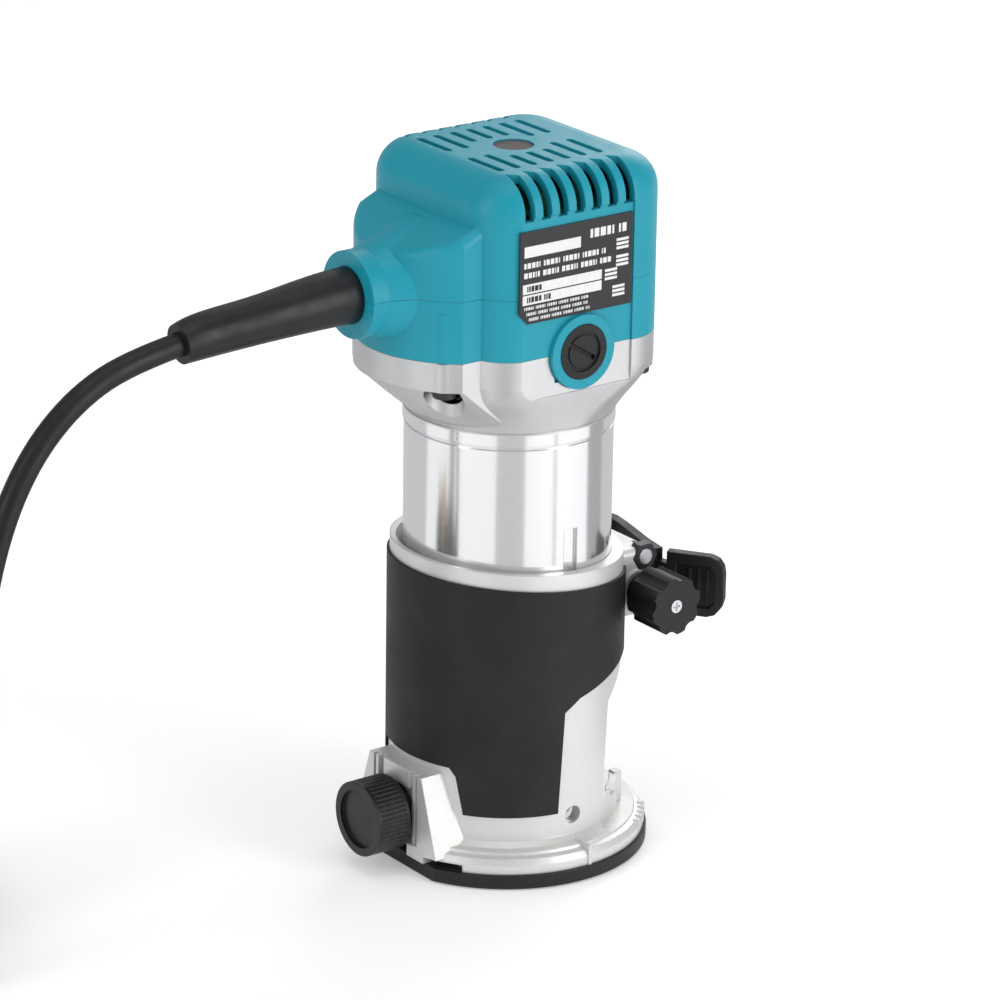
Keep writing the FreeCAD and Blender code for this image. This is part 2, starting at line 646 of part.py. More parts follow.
def bearing_parts(z0, z1, outer, inner):
    """Outer ring, inner ring and balls of a deep-groove bearing."""
    middle = (outer + inner) / 2
    height = (z0 + z1) / 2
    ball_r = (outer - inner) * 0.27
    race = Part.makeTorus(middle, ball_r + 0.03, Vector(0, 0, height), Z_AXIS)
    outside = tube(outer, middle + ball_r * 0.55, (0, 0, z0), (0, 0, z1)).cut(race)
    inside = tube(middle - ball_r * 0.55, inner, (0, 0, z0), (0, 0, z1)).cut(race)
    balls = []
    for i in range(8):
        angle = math.radians(45 * i)
        centre = Vector(middle * math.cos(angle), middle * math.sin(angle), height)
        balls.append(Part.makeSphere(ball_r - 0.02, centre))
    return outside, inside, Part.makeCompound(balls)


LOWER_BEARING = (66.5, 73.5, 11.0, SPINDLE_R)
UPPER_BEARING = (179.5, 186.0, 11.0, 4.0)


def make_spindle():
    """Armature shaft, from the upper bearing down to the threaded collet nose."""
    steps = [(4.0, 187.2, 179.4), (4.5, 179.4, 160.0), (6.0, 160.0, 96.0), (5.6, 96.0, 73.6),
             (SPINDLE_R, 73.6, 66.4), (7.3, 66.4, 44.5)]
    bars = [cylinder(r, (0, 0, low), (0, 0, top + 0.01)) for r, top, low in steps]
    shape = fuse(bars)
    flats = [box(*sorted((s * 6.5, s * 9)), -9, 9, 56.8, 62.4) for s in (-1, 1)]
    socket = cone(5.65, 4.05, (0, 0, 44.4), (0, 0, 58.0))
    pocket = cylinder(3.3, (0, 0, 57.9), (0, 0, 70.0))
    return cut(shape, flats + [socket, pocket])


def make_armature_core():
    """Laminated armature with slots for the windings."""
    z0, z1 = FIELD_Z[0] + 0.5, FIELD_Z[1] - 0.5
    shape = tube(16.5, 6.0, (0, 0, z0), (0, 0, z1))
    slots = [spun(box(11.5, 18, -0.9, 0.9, z0 - 1, z1 + 1), 30 * i) for i in range(12)]
    bulbs = [spun(cylinder(1.9, (12.2, 0, z0 - 1), (12.2, 0, z1 + 1)), 30 * i) for i in range(12)]
    return cut(shape, slots + bulbs)


def make_armature_winding():
    """Copper end turns above and below the core."""
    z0, z1 = FIELD_Z[0] + 0.4, FIELD_Z[1] - 0.4
    low = revolved([(6.0, z0 - 5), (12.0, z0 - 6), (15.0, z0 - 3), (15.0, z0), (6.0, z0)])
    top = revolved([(6.0, z1), (15.0, z1), (15.0, z1 + 4), (12.0, z1 + 8), (6.0, z1 + 8)])
    return Part.makeCompound([low, top])


def make_commutator():
    """Copper commutator with slits between its bars."""
    shape = tube(COMMUTATOR_R, 4.5, (0, 0, 164.0), (0, 0, 177.0))
    riser = tube(12.6, 4.5, (0, 0, 160.5), (0, 0, 164.1))
    slits = [spun(box(10.0, 14, -0.25, 0.25, 160, 178), 15 * i) for i in range(24)]
    return cut(fuse([shape, riser]), slits)


def make_cooling_fan():
    """Radial fan below the armature."""
    hub = tube(9.0, 5.6, (0, 0, 79.0), (0, 0, 92.0))
    disc = tube(26.5, 8.9, (0, 0, 79.0), (0, 0, 80.8))
    blades = []
    for i in range(11):
        blade = spun(box(8.5, 25.8, -0.8, 0.8, 80.6, 88.5), 22, (8.5, 0, 0))
        blades.append(spun(blade.common(cylinder(26.5, (0, 0, 79), (0, 0, 90))), 360 / 11 * i))
    return fuse([hub, disc] + blades)


# ---------------------------------------------------------------------------
# Collet
# ---------------------------------------------------------------------------
def make_collet_cone():
    """Split tapered sleeve that grips the shank."""
    shape = revolved([(SHANK_R, 41.5), (4.9, 41.5), (5.5, 44.6), (3.97, 57.4), (SHANK_R, 57.4)])
    slits = [spun(box(0.5, 8, -0.4, 0.4, 40, 54), 60 * i) for i in range(6)]
    return cut(shape, slits)


def make_collet_nut():
    """Hexagonal nut on the spindle nose."""
    body = hexagon(NUT_FLATS, (0, 0, NUT_BOTTOM), (0, 0, 55.6))
    chamfer = revolved([(0, NUT_BOTTOM), (10.9, NUT_BOTTOM), (12.9, 42.0), (12.9, 53.8), (11.0, 55.6),
                        (0, 55.6)])
    bore = cylinder(7.36, (0, 0, 44.0), (0, 0, 56))
    seat = cylinder(5.75, (0, 0, 41.2), (0, 0, 44.1))
    mouth = cylinder(4.2, (0, 0, 39), (0, 0, 41.3))
    return cut(body.common(chamfer), [bore, seat, mouth])


# ---------------------------------------------------------------------------
# Rack, pinion and height knob
# ---------------------------------------------------------------------------
PITCH_R = RACK_MODULE * PINION_TEETH / 2
RACK_PITCH = math.pi * RACK_MODULE
RACK_LINE_Y = PINION_Y + PITCH_R
PRESSURE = math.radians(20)


def make_height_rack():
    """Toothed strip let into the front of the motor tube."""
    low, high = 69.0, 126.0
    root = RACK_LINE_Y + 1.25 * RACK_MODULE
    tip = RACK_LINE_Y - 0.9 * RACK_MODULE
    strip = box(-2.6, 2.6, root, -30.25, low, high)
    teeth = [strip]
    half = RACK_PITCH / 4 - 0.07
    lean = math.tan(PRESSURE)
    count = int((high - low) / RACK_PITCH / 2)
    for i in range(-count, count + 1):
        z = PINION_Z + (i + 0.5) * RACK_PITCH
        wide = half + (root + 0.05 - RACK_LINE_Y) * lean
        narrow = half - (RACK_LINE_Y - tip) * lean
        if z - wide < low or z + wide > high:
            continue
        outline = [(-2.6, root + 0.05, z - wide), (-2.6, tip, z - narrow), (-2.6, tip, z + narrow),
                   (-2.6, root + 0.05, z + wide)]
        teeth.append(prism(outline, (5.2, 0, 0)))
    return fuse(teeth)


def involute(base, radius):
    """Polar angle of an involute where it reaches a radius."""
    phi = math.acos(min(1.0, base / radius))
    return math.tan(phi) - phi


def make_pinion_shaft():
    """Pinion and its cross shaft in one piece."""
    base = PITCH_R * math.cos(PRESSURE)
    tip = PITCH_R + 0.85 * RACK_MODULE
    root = PITCH_R - 1.15 * RACK_MODULE
    half = math.pi / (2 * PINION_TEETH) - 0.07 / PITCH_R + involute(base, PITCH_R)
    points = []
    for i in range(PINION_TEETH):
        middle = 2 * math.pi * i / PINION_TEETH
        for side in (-1, 1):
            radii = [root, base + 0.02, (base + tip) / 2, tip]
            if side > 0:
                radii.reverse()
            for radius in radii:
                share = half - involute(base, max(radius, base + 0.02))
                angle = middle + side * share
                across, up = radius * math.cos(angle), radius * math.sin(angle)
                points.append((-2.4, PINION_Y + across, PINION_Z + up))
    gear = prism(points, (4.8, 0, 0))
    shaft = [cylinder(2.95, (-38.5, PINION_Y, PINION_Z), (-2.3, PINION_Y, PINION_Z)),
             cylinder(2.95, (2.3, PINION_Y, PINION_Z), (17.5, PINION_Y, PINION_Z))]
    tip_hole = cylinder(1.05, (-39, PINION_Y, PINION_Z), (-31, PINION_Y, PINION_Z))
    return fuse([gear] + shaft).cut(tip_hole)


def make_height_knob():
    """Knob with eight scallops on the end of the pinion shaft."""
    x0, x1 = -40.5, -27.3
    body = cylinder(9.4, (x0, PINION_Y, PINION_Z), (x1, PINION_Y, PINION_Z))
    scallops = []
    for i in range(8):
        angle = math.radians(45 * i + 10)
        y = PINION_Y + 11.2 * math.cos(angle)
        z = PINION_Z + 11.2 * math.sin(angle)
        scallops.append(cylinder(2.9, (x0 - 1, y, z), (x1 + 1, y, z)))
    neck = cylinder(6.2, (x1 - 0.1, PINION_Y, PINION_Z), (-23.2, PINION_Y, PINION_Z))
    shape = fuse([cut(body, scallops), neck])
    bore = cylinder(2.95, (-38.5, PINION_Y, PINION_Z), (-20, PINION_Y, PINION_Z))
    screw_way = cylinder(1.6, (-42, PINION_Y, PINION_Z), (-38, PINION_Y, PINION_Z))
    seat = cylinder(2.3, (-42, PINION_Y, PINION_Z), (-39.7, PINION_Y, PINION_Z))
    return cut(shape, [bore, screw_way, seat])


def make_knob_screw():
    """Small screw that holds the knob on the shaft."""
    head = cylinder(2.1, (-40.6, PINION_Y, PINION_Z), (-39.72, PINION_Y, PINION_Z))
    shank = cylinder(1.0, (-39.8, PINION_Y, PINION_Z), (-32, PINION_Y, PINION_Z))
    cross = [box(-41, -40.2, PINION_Y - 1.3, PINION_Y + 1.3, PINION_Z - 0.25, PINION_Z + 0.25),
             box(-41, -40.2, PINION_Y - 0.25, PINION_Y + 0.25, PINION_Z - 1.3, PINION_Z + 1.3)]
    return cut(fuse([head, shank]), cross)


def make_shaft_ring():
    """Snap ring on the inner end of the pinion shaft."""
    return tube(4.2, 2.95, (14.6, PINION_Y, PINION_Z), (15.6, PINION_Y, PINION_Z))


# ---------------------------------------------------------------------------
# Base
# ---------------------------------------------------------------------------
def above_ring():
    """Everything above the sloping top of the sleeve."""
    rise = 50 * RING_SLOPE
    outline = [(-50, -50, RING_TOP - rise), (-50, 50, RING_TOP + rise), (-50, 50, 130), (-50, -50, 130)]
    return prism(outline, (100, 0, 0))


def grip_region():
    """The space that the rubber grip takes, before it is cut to a thin ring."""
    whole = cylinder(50, (0, 0, 20.6), (0, 0, 110))
    low, high = 93.6 - 50 * 0.0975, 93.6 + 50 * 0.0975
    over = prism([(-50, -50, low), (-50, 50, high), (-50, 50, 130), (-50, -50, 130)], (100, 0, 0))
    side = prism([(-60, 6.7, 10), (-60, 4.3, 54), (-60, -1.3, 57.8), (-60, -10, 60), (-60, -26, 64),
                  (-60, -60, 64), (-60, -60, 10)], (120, 0, 0))
    rear = prism([(-21.3, 10, 10), (-20.7, 10, 21.5), (-18.6, 10, 33.0), (-16.6, 10, 35.6), (16.6, 10, 35.6),
                  (18.6, 10, 33.0), (20.7, 10, 21.5), (21.3, 10, 10)], (0, 50, 0))
    front = box(-LUG_HALF_X - 1.0, LUG_HALF_X + 1.0, -60, -20, 66, 130)
    lug_gap = box(-14.5, 14.5, -60, -20, 10, 130)
    return cut(whole, [over, side, rear, front, lug_gap])


def make_sleeve_grip():
    """Rubber grip around the sleeve, with a raised panel outline at the rear."""
    ring = tube(GRIP_R, GRIP_SEAT_R + 0.02, (0, 0, 20.6), (0, 0, 110))
    return ring.common(grip_region())


def window_cutters():
    """The open front of the base, between the two side walls."""
    outline = [(-60, -15.8, 52.0), (-60, -12.6, FLANGE_TOP), (-60, -60, FLANGE_TOP), (-60, -60, 60.5),
               (-60, -27, 60.5)]
    return [prism(outline, (120, 0, 0))]


def make_lugs():
    """Clamp ears at the front of the sleeve."""
    block = box(-LUG_HALF_X, LUG_HALF_X, LUG_FACE_Y, -24, LUG_BOTTOM, LUG_TOP)
    block = rounded(block, 2.0, lambda e, m: abs(m.z - LUG_TOP) < 0.01 and abs(abs(m.x) - LUG_HALF_X) < 0.01)
    ears = cylinder(4.1, (-14.0, CLAMP_BOLT_Y, CLAMP_BOLT_Z - 1), (14.0, CLAMP_BOLT_Y, CLAMP_BOLT_Z - 1))
    hub = cylinder(6.6, (-LUG_HALF_X - 1.9, PINION_Y, PINION_Z), (17.0, PINION_Y, PINION_Z))
    return [block, ears, hub]


def make_rear_block():
    """Block at the rear that clamps the guide rail, with wedge posts each side."""
    outline = [(-21.8, 20, 8.0), (-13.7, 20, 33.0), (13.7, 20, 33.0), (21.8, 20, 8.0)]
    block = prism(outline, (0, GUIDE_FACE_Y - 20, 0))
    panel = box(-9.0, 9.0, GUIDE_FACE_Y - 1.6, GUIDE_FACE_Y + 5, 9.0, 40)
    frame = box(-6.8, 6.8, GUIDE_FACE_Y - 2.0, GUIDE_FACE_Y - 0.4, 27.2, 33.0)
    grooves = [box(s * 10.9 - 0.55, s * 10.9 + 0.55, GUIDE_FACE_Y - 1.4, GUIDE_FACE_Y + 2, 8.2, 40)
               for s in (-1, 1)]
    block = cut(block, [panel] + grooves)
    return block.fuse(frame)


def make_flange():
    """Round flange under the sleeve, with a stepped rim."""
    profile = [(20, PLATE_T + 0.05), (44.7, PLATE_T + 0.05), (44.7, 7.6), (43.6, 9.4), (41.8, 9.9),
               (41.4, 10.8), (20, 10.8)]
    return revolved(profile)


def index_marks():
    """Raised index ridge, rim ridges and arrow on the flange."""
    marks = [box(-45.2, -36.8, -1.1, 0.1, PLATE_T + 0.05, 11.3)]
    for i in range(5):
        ridge = box(43.0, 45.1, -0.55, 0.55, 6.2, 9.8)
        marks.append(spun(ridge, 217.5 + 4.6 * i))
        marks.append(spun(ridge, 322.5 - 4.6 * i))
    arrow = prism([(-29.5, -30.4, 10.7), (-27.0, -34.6, 10.7), (-25.2, -31.4, 10.7)], (0, 0, 0.7))
    return marks + [arrow]


def make_upstands():
    """Low curved walls beside the window."""
    ring = tube(36.2, 33.6, (0, 0, FLANGE_TOP), (0, 0, 20.0))
    keep = box(-34, -18.5, -34, -12, 10, 20.0)
    wall = ring.common(keep).cut(box(-30.5, -27.0, -40, -10, 17.6, 21))
    post = box(-20.6, -18.0, -31.5, -28.5, FLANGE_TOP, 20.4)
    return [wall, post, mirror_x(wall), mirror_x(post)]


PLATE_SCREWS = [(35.0 * math.cos(math.radians(a)), 35.0 * math.sin(math.radians(a)))
                for a in (38, 142, 218, 322)]


def make_base_casting():
    """Sleeve, flange, clamp lugs and guide block in one casting."""
    sleeve = cylinder(SLEEVE_R, (0, 0, PLATE_T + 1), (0, 0, 110))
    foot = cone(38.6, SLEEVE_R, (0, 0, 10.7), (0, 0, 12.4))
    shape = fuse([sleeve, foot, make_flange(), make_rear_block()] + make_lugs() + index_marks())
    shape = cut(shape, [above_ring()])
    seat = tube(60, GRIP_SEAT_R, (0, 0, 20.6), (0, 0, 110)).common(grip_region())
    shape = cut(shape, [seat] + window_cutters())
    shape = fuse([shape] + make_upstands())
    bore = [cylinder(BORE_R, (0, 0, FLANGE_TOP), (0, 0, 120)),
            cylinder(22.0, (0, 0, 0), (0, 0, 40)),
            cone(BORE_R - 0.2, BORE_R + 3.4, (0, 0, 96.8), (0, 0, 104))]
    keyway = [box(-3.2, 3.2, -34.2, -28, FLANGE_TOP, 120)]
    slit = [box(-CLAMP_SLIT / 2, CLAMP_SLIT / 2, -60, -20, 50, 120)]
    pinion_room = [cylinder(5.6, (-2.9, PINION_Y, PINION_Z), (2.9, PINION_Y, PINION_Z)),
                   box(-2.9, 2.9, PINION_Y, -30, PINION_Z - 5.6, PINION_Z + 5.6)]
    shaft_way = [cylinder(3.0, (-30, PINION_Y, PINION_Z), (20, PINION_Y, PINION_Z)),
                 cylinder(4.6, (14.0, PINION_Y, PINION_Z), (20, PINION_Y, PINION_Z))]
    bolt_way = [cylinder(2.6, (-30, CLAMP_BOLT_Y, CLAMP_BOLT_Z), (30, CLAMP_BOLT_Y, CLAMP_BOLT_Z)),
                hexagon(8.4, (-25, CLAMP_BOLT_Y, CLAMP_BOLT_Z), (-17.4, CLAMP_BOLT_Y, CLAMP_BOLT_Z))]
    thumb_holes = [cylinder(2.9, (s * 30, 0, 18.7), (s * 40, 0, 18.7)) for s in (-1, 1)]
    guide_way = [cylinder(2.05, (0, 28, GUIDE_Z), (0, 50, GUIDE_Z)),
                 cylinder(8.9, (0, GUIDE_FACE_Y - 1.6, GUIDE_Z), (0, 50, GUIDE_Z))]
    rail = [box(-6.4, 6.4, 33.6, GUIDE_FACE_Y + 4, PLATE_T + 0.05, 9.0)]
    plate_holes = [cylinder(1.65, (x, y, PLATE_T), (x, y, 9.6)) for x, y in PLATE_SCREWS]
    rim_notch = [box(-27.0, -15.0, 33.5, 50, PLATE_T, 7.0), box(15.0, 27.0, 33.5, 50, PLATE_T, 7.0)]
    rear_flat = [box(-60, 60, GUIDE_FACE_Y + 0.01, 70, 0, 9.0)]
    tools = bore + keyway + slit + pinion_room + shaft_way + bolt_way + thumb_holes + guide_way + rail
    return cut(shape, tools + plate_holes + rim_notch + rear_flat)


def make_base_protector():
    """Black plastic plate under the flange, with a flat rear edge."""
    plate = cylinder(PLATE_R, (0, 0, 0), (0, 0, PLATE_T))
    plate = rounded(plate, 0.9, lambda e, m: m.z < 0.01)
    opening = cylinder(OPENING_R, (0, 0, -1), (0, 0, 6))
    flat = box(-60, 60, FLAT_Y, 60, -1, 6)
    holes = []
    for x, y in PLATE_SCREWS:
        holes.append(cylinder(2.0, (x, y, -1), (x, y, 6)))
        holes.append(cone(3.9, 2.0, (x, y, -0.2), (x, y, 1.9)))
    return cut(plate, [opening, flat] + holes)


def make_base_screws():
    """Four countersunk screws up through the plate."""
    screws = []
    for x, y in PLATE_SCREWS:
        head = cone(3.5, 1.9, (x, y, 0.15), (x, y, 1.8))
        shank = cylinder(1.6, (x, y, 1.7), (x, y, 9.4))
        slot = [box(x - 2.2, x + 2.2, y - 0.3, y + 0.3, 0, 0.9),
                box(x - 0.3, x + 0.3, y - 2.2, y + 2.2, 0, 0.9)]
        screws.append(cut(fuse([head, shank]), slot))
    return Part.makeCompound(screws)


def make_housing_screws():
    """Four screws that hold the metal housing to the plastic shell."""
    screws = []
    for x, y, z in SCREW_SPOTS:
        head = cylinder(3.6, (x, y, z - 2.6), (x, y, z - 0.02))
        head = rounded(head, 0.6, lambda e, m: m.z < z - 2.5)
        shank = cylinder(1.68, (x, y, z - 0.1), (x, y, 183))
        socket = hexagon(3.0, (x, y, z - 3), (x, y, z - 1.2))
        screws.append(cut(fuse([head, shank]), [socket]))
    return Part.makeCompound(screws)


# ---------------------------------------------------------------------------
# Clamp bolt, nut and lock lever
# ---------------------------------------------------------------------------
def make_clamp_bolt():
    """Bolt through the lugs, with an eye for the lever's pin."""
    px, py = LEVER_PIVOT
    shank = cylinder(2.5, (-21.4, CLAMP_BOLT_Y, CLAMP_BOLT_Z), (px - 3, CLAMP_BOLT_Y, CLAMP_BOLT_Z))
    eye = cylinder(3.9, (px, py, CLAMP_BOLT_Z - 2.4), (px, py, CLAMP_BOLT_Z + 2.4))
    hole = cylinder(1.6, (px, py, 80), (px, py, 100))
    return fuse([shank, eye]).cut(hole)


def make_clamp_nut():
    """Hexagon nut that sets the grip of the lever."""
    nut = hexagon(8.0, (-21.2, CLAMP_BOLT_Y, CLAMP_BOLT_Z), (-17.6, CLAMP_BOLT_Y, CLAMP_BOLT_Z))
    return nut.cut(cylinder(2.52, (-30, CLAMP_BOLT_Y, CLAMP_BOLT_Z), (-10, CLAMP_BOLT_Y, CLAMP_BOLT_Z)))


def make_lever_pin():
    """Upright pin that the lever turns on."""
    px, py = LEVER_PIVOT
    return cylinder(1.58, (px, py, CLAMP_BOLT_Z - 7.2), (px, py, CLAMP_BOLT_Z + 4.4))


def band(points, thickness, z0, z1):
    """An upright strip of even thickness along a level line of points."""
    left = []
    right = []
    for i, (x, y) in enumerate(points):
        before = points[max(i - 1, 0)]
        after = points[min(i + 1, len(points) - 1)]
        dx, dy = after[0] - before[0], after[1] - before[1]
        size = math.hypot(dx, dy)
        nx, ny = -dy / size * thickness / 2, dx / size * thickness / 2
        left.append((x + nx, y + ny, z0))
        right.append((x - nx, y - ny, z0))
    return prism(left + right[::-1], (0, 0, z1 - z0))


TAB_ROOT = (-25.0, -46.5)          # root of the finger tab, on the face towards the knob
TAB_HEADING = (-0.82, -0.573)      # level direction that the tab runs in
TAB_NORMAL = (0.573, -0.82)        # level direction away from the knob
TAB_T = 3.2
ARM_LINE = [(22.0, -47.5), (17.5, -50.6), (11.5, -51.4), (5.5, -50.3), (-0.5, -48.9), (-10.0, -46.6),
            (-19.5, -45.0)]


def tab_point(along, out, z):
    """A point of the finger tab, from its root."""
    x = TAB_ROOT[0] + TAB_HEADING[0] * along + TAB_NORMAL[0] * out
    y = TAB_ROOT[1] + TAB_HEADING[1] * along + TAB_NORMAL[1] * out
    return (x, y, z)


def make_lock_lever():
    """Lever that pulls the lugs together: forked hub, curved arm and flared finger tab."""
    px, py = LEVER_PIVOT
    hub = cylinder(6.0, (px, py, CLAMP_BOLT_Z - 6.6), (px, py, LEVER_TOP + 3.2))
    cheek = band([(px, py - 3.5), ARM_LINE[0], ARM_LINE[1]], 4.4, CLAMP_BOLT_Z - 6.6, LEVER_TOP + 3.2)
    arm = band([(px - 3.0, py - 5.0)] + ARM_LINE, 3.2, LEVER_TOP - 9.0, LEVER_TOP)
    neck_line = [(-18.0, -45.2), (-22.5, -46.2), tab_point(2.0, TAB_T / 2, 0)[:2]]
    neck = band(neck_line, 3.0, LEVER_TOP - 11, LEVER_TOP - 3.8)
    low = LEVER_TOP - 20.3
    outline = [(-2.0, LEVER_TOP), (12.2, LEVER_TOP), (14.7, LEVER_TOP - 1.0), (16.2, LEVER_TOP - 3.0),
               (16.7, LEVER_TOP - 5.6), (16.7, low + 6.0), (15.9, low + 3.2), (14.0, low + 0.9), (11.4, low),
               (4.5, low), (1.5, low + 1.5), (-0.6, low + 6.0), (-2.0, low + 11.0)]
    tab = prism([tab_point(s, 0, z) for s, z in outline], (TAB_NORMAL[0] * TAB_T, TAB_NORMAL[1] * TAB_T, 0))
    inside = [(1.0, LEVER_TOP - 3.2), (12.0, LEVER_TOP - 3.2), (13.9, LEVER_TOP - 5.2),
              (13.9, low + 4.6), (12.0, low + 2.7), (4.8, low + 2.7), (1.0, low + 8.0)]
    dish = prism([tab_point(s, -1, z) for s, z in inside], (TAB_NORMAL[0] * 2.0, TAB_NORMAL[1] * 2.0, 0))
    ribs = []
    for start in (5.2, 8.1, 11.0):
        end = start + 0.8
        corners = [(start, LEVER_TOP - 4.6), (end, LEVER_TOP - 4.6), (end, low + 4.0), (start, low + 4.0)]
        ribs.append(prism([tab_point(s, 0.2, z) for s, z in corners], (TAB_NORMAL[0], TAB_NORMAL[1], 0)))
    shape = fuse([cut(fuse([hub, cheek, arm, neck, tab]), [dish])] + ribs)
    slot = [cylinder(4.6, (px, py, CLAMP_BOLT_Z - 2.9), (px, py, CLAMP_BOLT_Z + 2.9)),
            box(px - 9, px + 3.3, py - 3.3, py + 9, CLAMP_BOLT_Z - 2.9, CLAMP_BOLT_Z + 2.9)]
    bore = [cylinder(1.62, (px, py, 70), (px, py, 110))]
    return cut(shape, slot + bore)


# ---------------------------------------------------------------------------
# Guide clamp screw
# ---------------------------------------------------------------------------
def make_guide_washer():
    """Black clamp plate between the knob and the block."""
    plate = cylinder(8.5, (0, GUIDE_FACE_Y - 1.3, GUIDE_Z), (0, 44.2, GUIDE_Z))
    return plate.cut(cylinder(2.1, (0, 30, GUIDE_Z), (0, 60, GUIDE_Z)))


def make_guide_knob():
    """Round knurled knob."""
    body = cylinder(12.0, (0, 44.5, GUIDE_Z), (0, 56.2, GUIDE_Z))
    grooves = []
    for i in range(48):
        angle = math.radians(7.5 * i)
        x = 12.15 * math.cos(angle)
        z = GUIDE_Z + 12.15 * math.sin(angle)
        grooves.append(cylinder(0.42, (x, 45.6, z), (x, 55.0, z)))
    dish = cylinder(9.4, (0, 55.0, GUIDE_Z), (0, 58, GUIDE_Z))
    bore = cylinder(2.0, (0, 40, GUIDE_Z), (0, 52.0, GUIDE_Z))
    return cut(body, grooves + [dish, bore])


def make_guide_stud():
    """Threaded stud moulded into the knob."""
    return cylinder(2.0, (0, 30.0, GUIDE_Z), (0, 52.0, GUIDE_Z))


# ---------------------------------------------------------------------------
# Plug on the far end of the lead
# ---------------------------------------------------------------------------
PLUG_TAIL = (77.0, 219.2, 40.65)    # where the lead enters the plug's tail
PLUG_TURN = 240.0                   # heading of the plug, from +X
PLUG_LEAD_Z = 12.0                  # height of the lead above the face that the plug lies on


def plug_place(shape):
    """Turn a plug piece that is built along +X and set it on top of the coil."""
    x, y, z = PLUG_TAIL
    shape.Placement = FreeCAD.Placement(Vector(x, y, z - PLUG_LEAD_Z), FreeCAD.Rotation(Z_AXIS, PLUG_TURN))
    return shape


def make_plug_body():
    """Moulded three-pin plug lying on its back, with a tapered tail."""
    block = box(22, 66, -23.5, 23.5, 0.2, 22.5)
    block = rounded(block, 9, upright)
    block = rounded(block, 2.5, lambda e, m: m.z > 22.4)
    tail = cone(5.0, 7.4, (0, 0, PLUG_LEAD_Z), (23, 0, PLUG_LEAD_Z))
    return plug_place(fuse([block, tail]))


def make_plug_pins():
    """Flat brass pins of the plug."""
    earth = box(54.0, 62.0, -2.0, 2.0, 22.6, 45.0)
    live = box(34.0, 38.0, 8.0, 14.3, 22.6, 40.3)
    neutral = box(34.0, 38.0, -14.3, -8.0, 22.6, 40.3)
    return plug_place(Part.makeCompound([earth, live, neutral]))


def make_cord_clamp():
    """Strain bar and its two screws, which hold the lead inside the head."""
    bar = box(-11, 11, 31.0, 38.0, 193.4, 196.6)
    screws = [cylinder(1.9, (s * 8.5, 34.5, 196.5), (s * 8.5, 34.5, 199)) for s in (-1, 1)]
    return fuse([bar] + screws)


# ---------------------------------------------------------------------------
# Write every piece
# ---------------------------------------------------------------------------
lower_outer, lower_inner, lower_balls = bearing_parts(*LOWER_BEARING)
upper_outer, upper_inner, upper_balls = bearing_parts(*UPPER_BEARING)

PIECES = {
    "motor_housing": make_motor_housing(),
    "motor_end_housing": make_motor_end_housing(),
    "top_cover": make_top_cover(),
    "top_plug": make_top_plug(),
    "rating_label": make_rating_label(),
    "brush_caps": make_brush_caps(),
    "brush_holders": make_brush_holders(),
    "carbon_brushes": make_carbon_brushes(),
    "brush_springs": make_brush_springs(),
    "switch_bezel": make_switch_bezel(),
    "switch_rocker": make_switch_rocker(),
    "switch_body": make_switch_body(),
    "speed_dial": make_speed_dial(),
    "dial_pin": make_dial_pin(),
    "controller_board": make_controller_board(),
    "indicator_lens": make_indicator_lens(),
    "cord_guard": make_cord_guard(),
    "cord_inner_end": make_cord_inner_end(),
    "cord_clamp": make_cord_clamp(),
    "power_cord": make_power_cord(),
    "power_cord_coil": make_power_cord_coil(),
    "plug_body": make_plug_body(),
    "plug_pins": make_plug_pins(),
    "stator_core": make_stator_core(),
    "field_coils": make_field_coils(),
    "fan_baffle": make_fan_baffle(),
    "lower_bearing_outer_ring": lower_outer,
    "lower_bearing_inner_ring": lower_inner,
    "lower_bearing_balls": lower_balls,
    "upper_bearing_outer_ring": upper_outer,
    "upper_bearing_inner_ring": upper_inner,
    "upper_bearing_balls": upper_balls,
    "armature_shaft": make_spindle(),
    "armature_core": make_armature_core(),
    "armature_winding": make_armature_winding(),
    "commutator": make_commutator(),
    "cooling_fan": make_cooling_fan(),
    "collet_cone": make_collet_cone(),
    "collet_nut": make_collet_nut(),
    "height_rack": make_height_rack(),
    "housing_screws": make_housing_screws(),
    "pinion_shaft": make_pinion_shaft(),
    "height_knob": make_height_knob(),
    "knob_screw": make_knob_screw(),
    "pinion_snap_ring": make_shaft_ring(),
    "base_casting": make_base_casting(),
    "sleeve_grip": make_sleeve_grip(),
    "base_protector": make_base_protector(),
    "base_screws": make_base_screws(),
    "clamp_bolt": make_clamp_bolt(),
    "clamp_nut": make_clamp_nut(),
    "lever_pin": make_lever_pin(),
    "lock_lever": make_lock_lever(),
    "guide_washer": make_guide_washer(),
    "guide_knob": make_guide_knob(),
    "guide_stud": make_guide_stud(),
}

for name, shape in PIECES.items():
    shape.exportStep("parts/" + name + ".step")
    state = "valid" if shape.isValid() else "NOT VALID"
    print(name, len(shape.Solids), "solids", round(shape.Volume), state)
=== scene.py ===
import json
import math

import bmesh
import bpy
from mathutils import Matrix, Vector


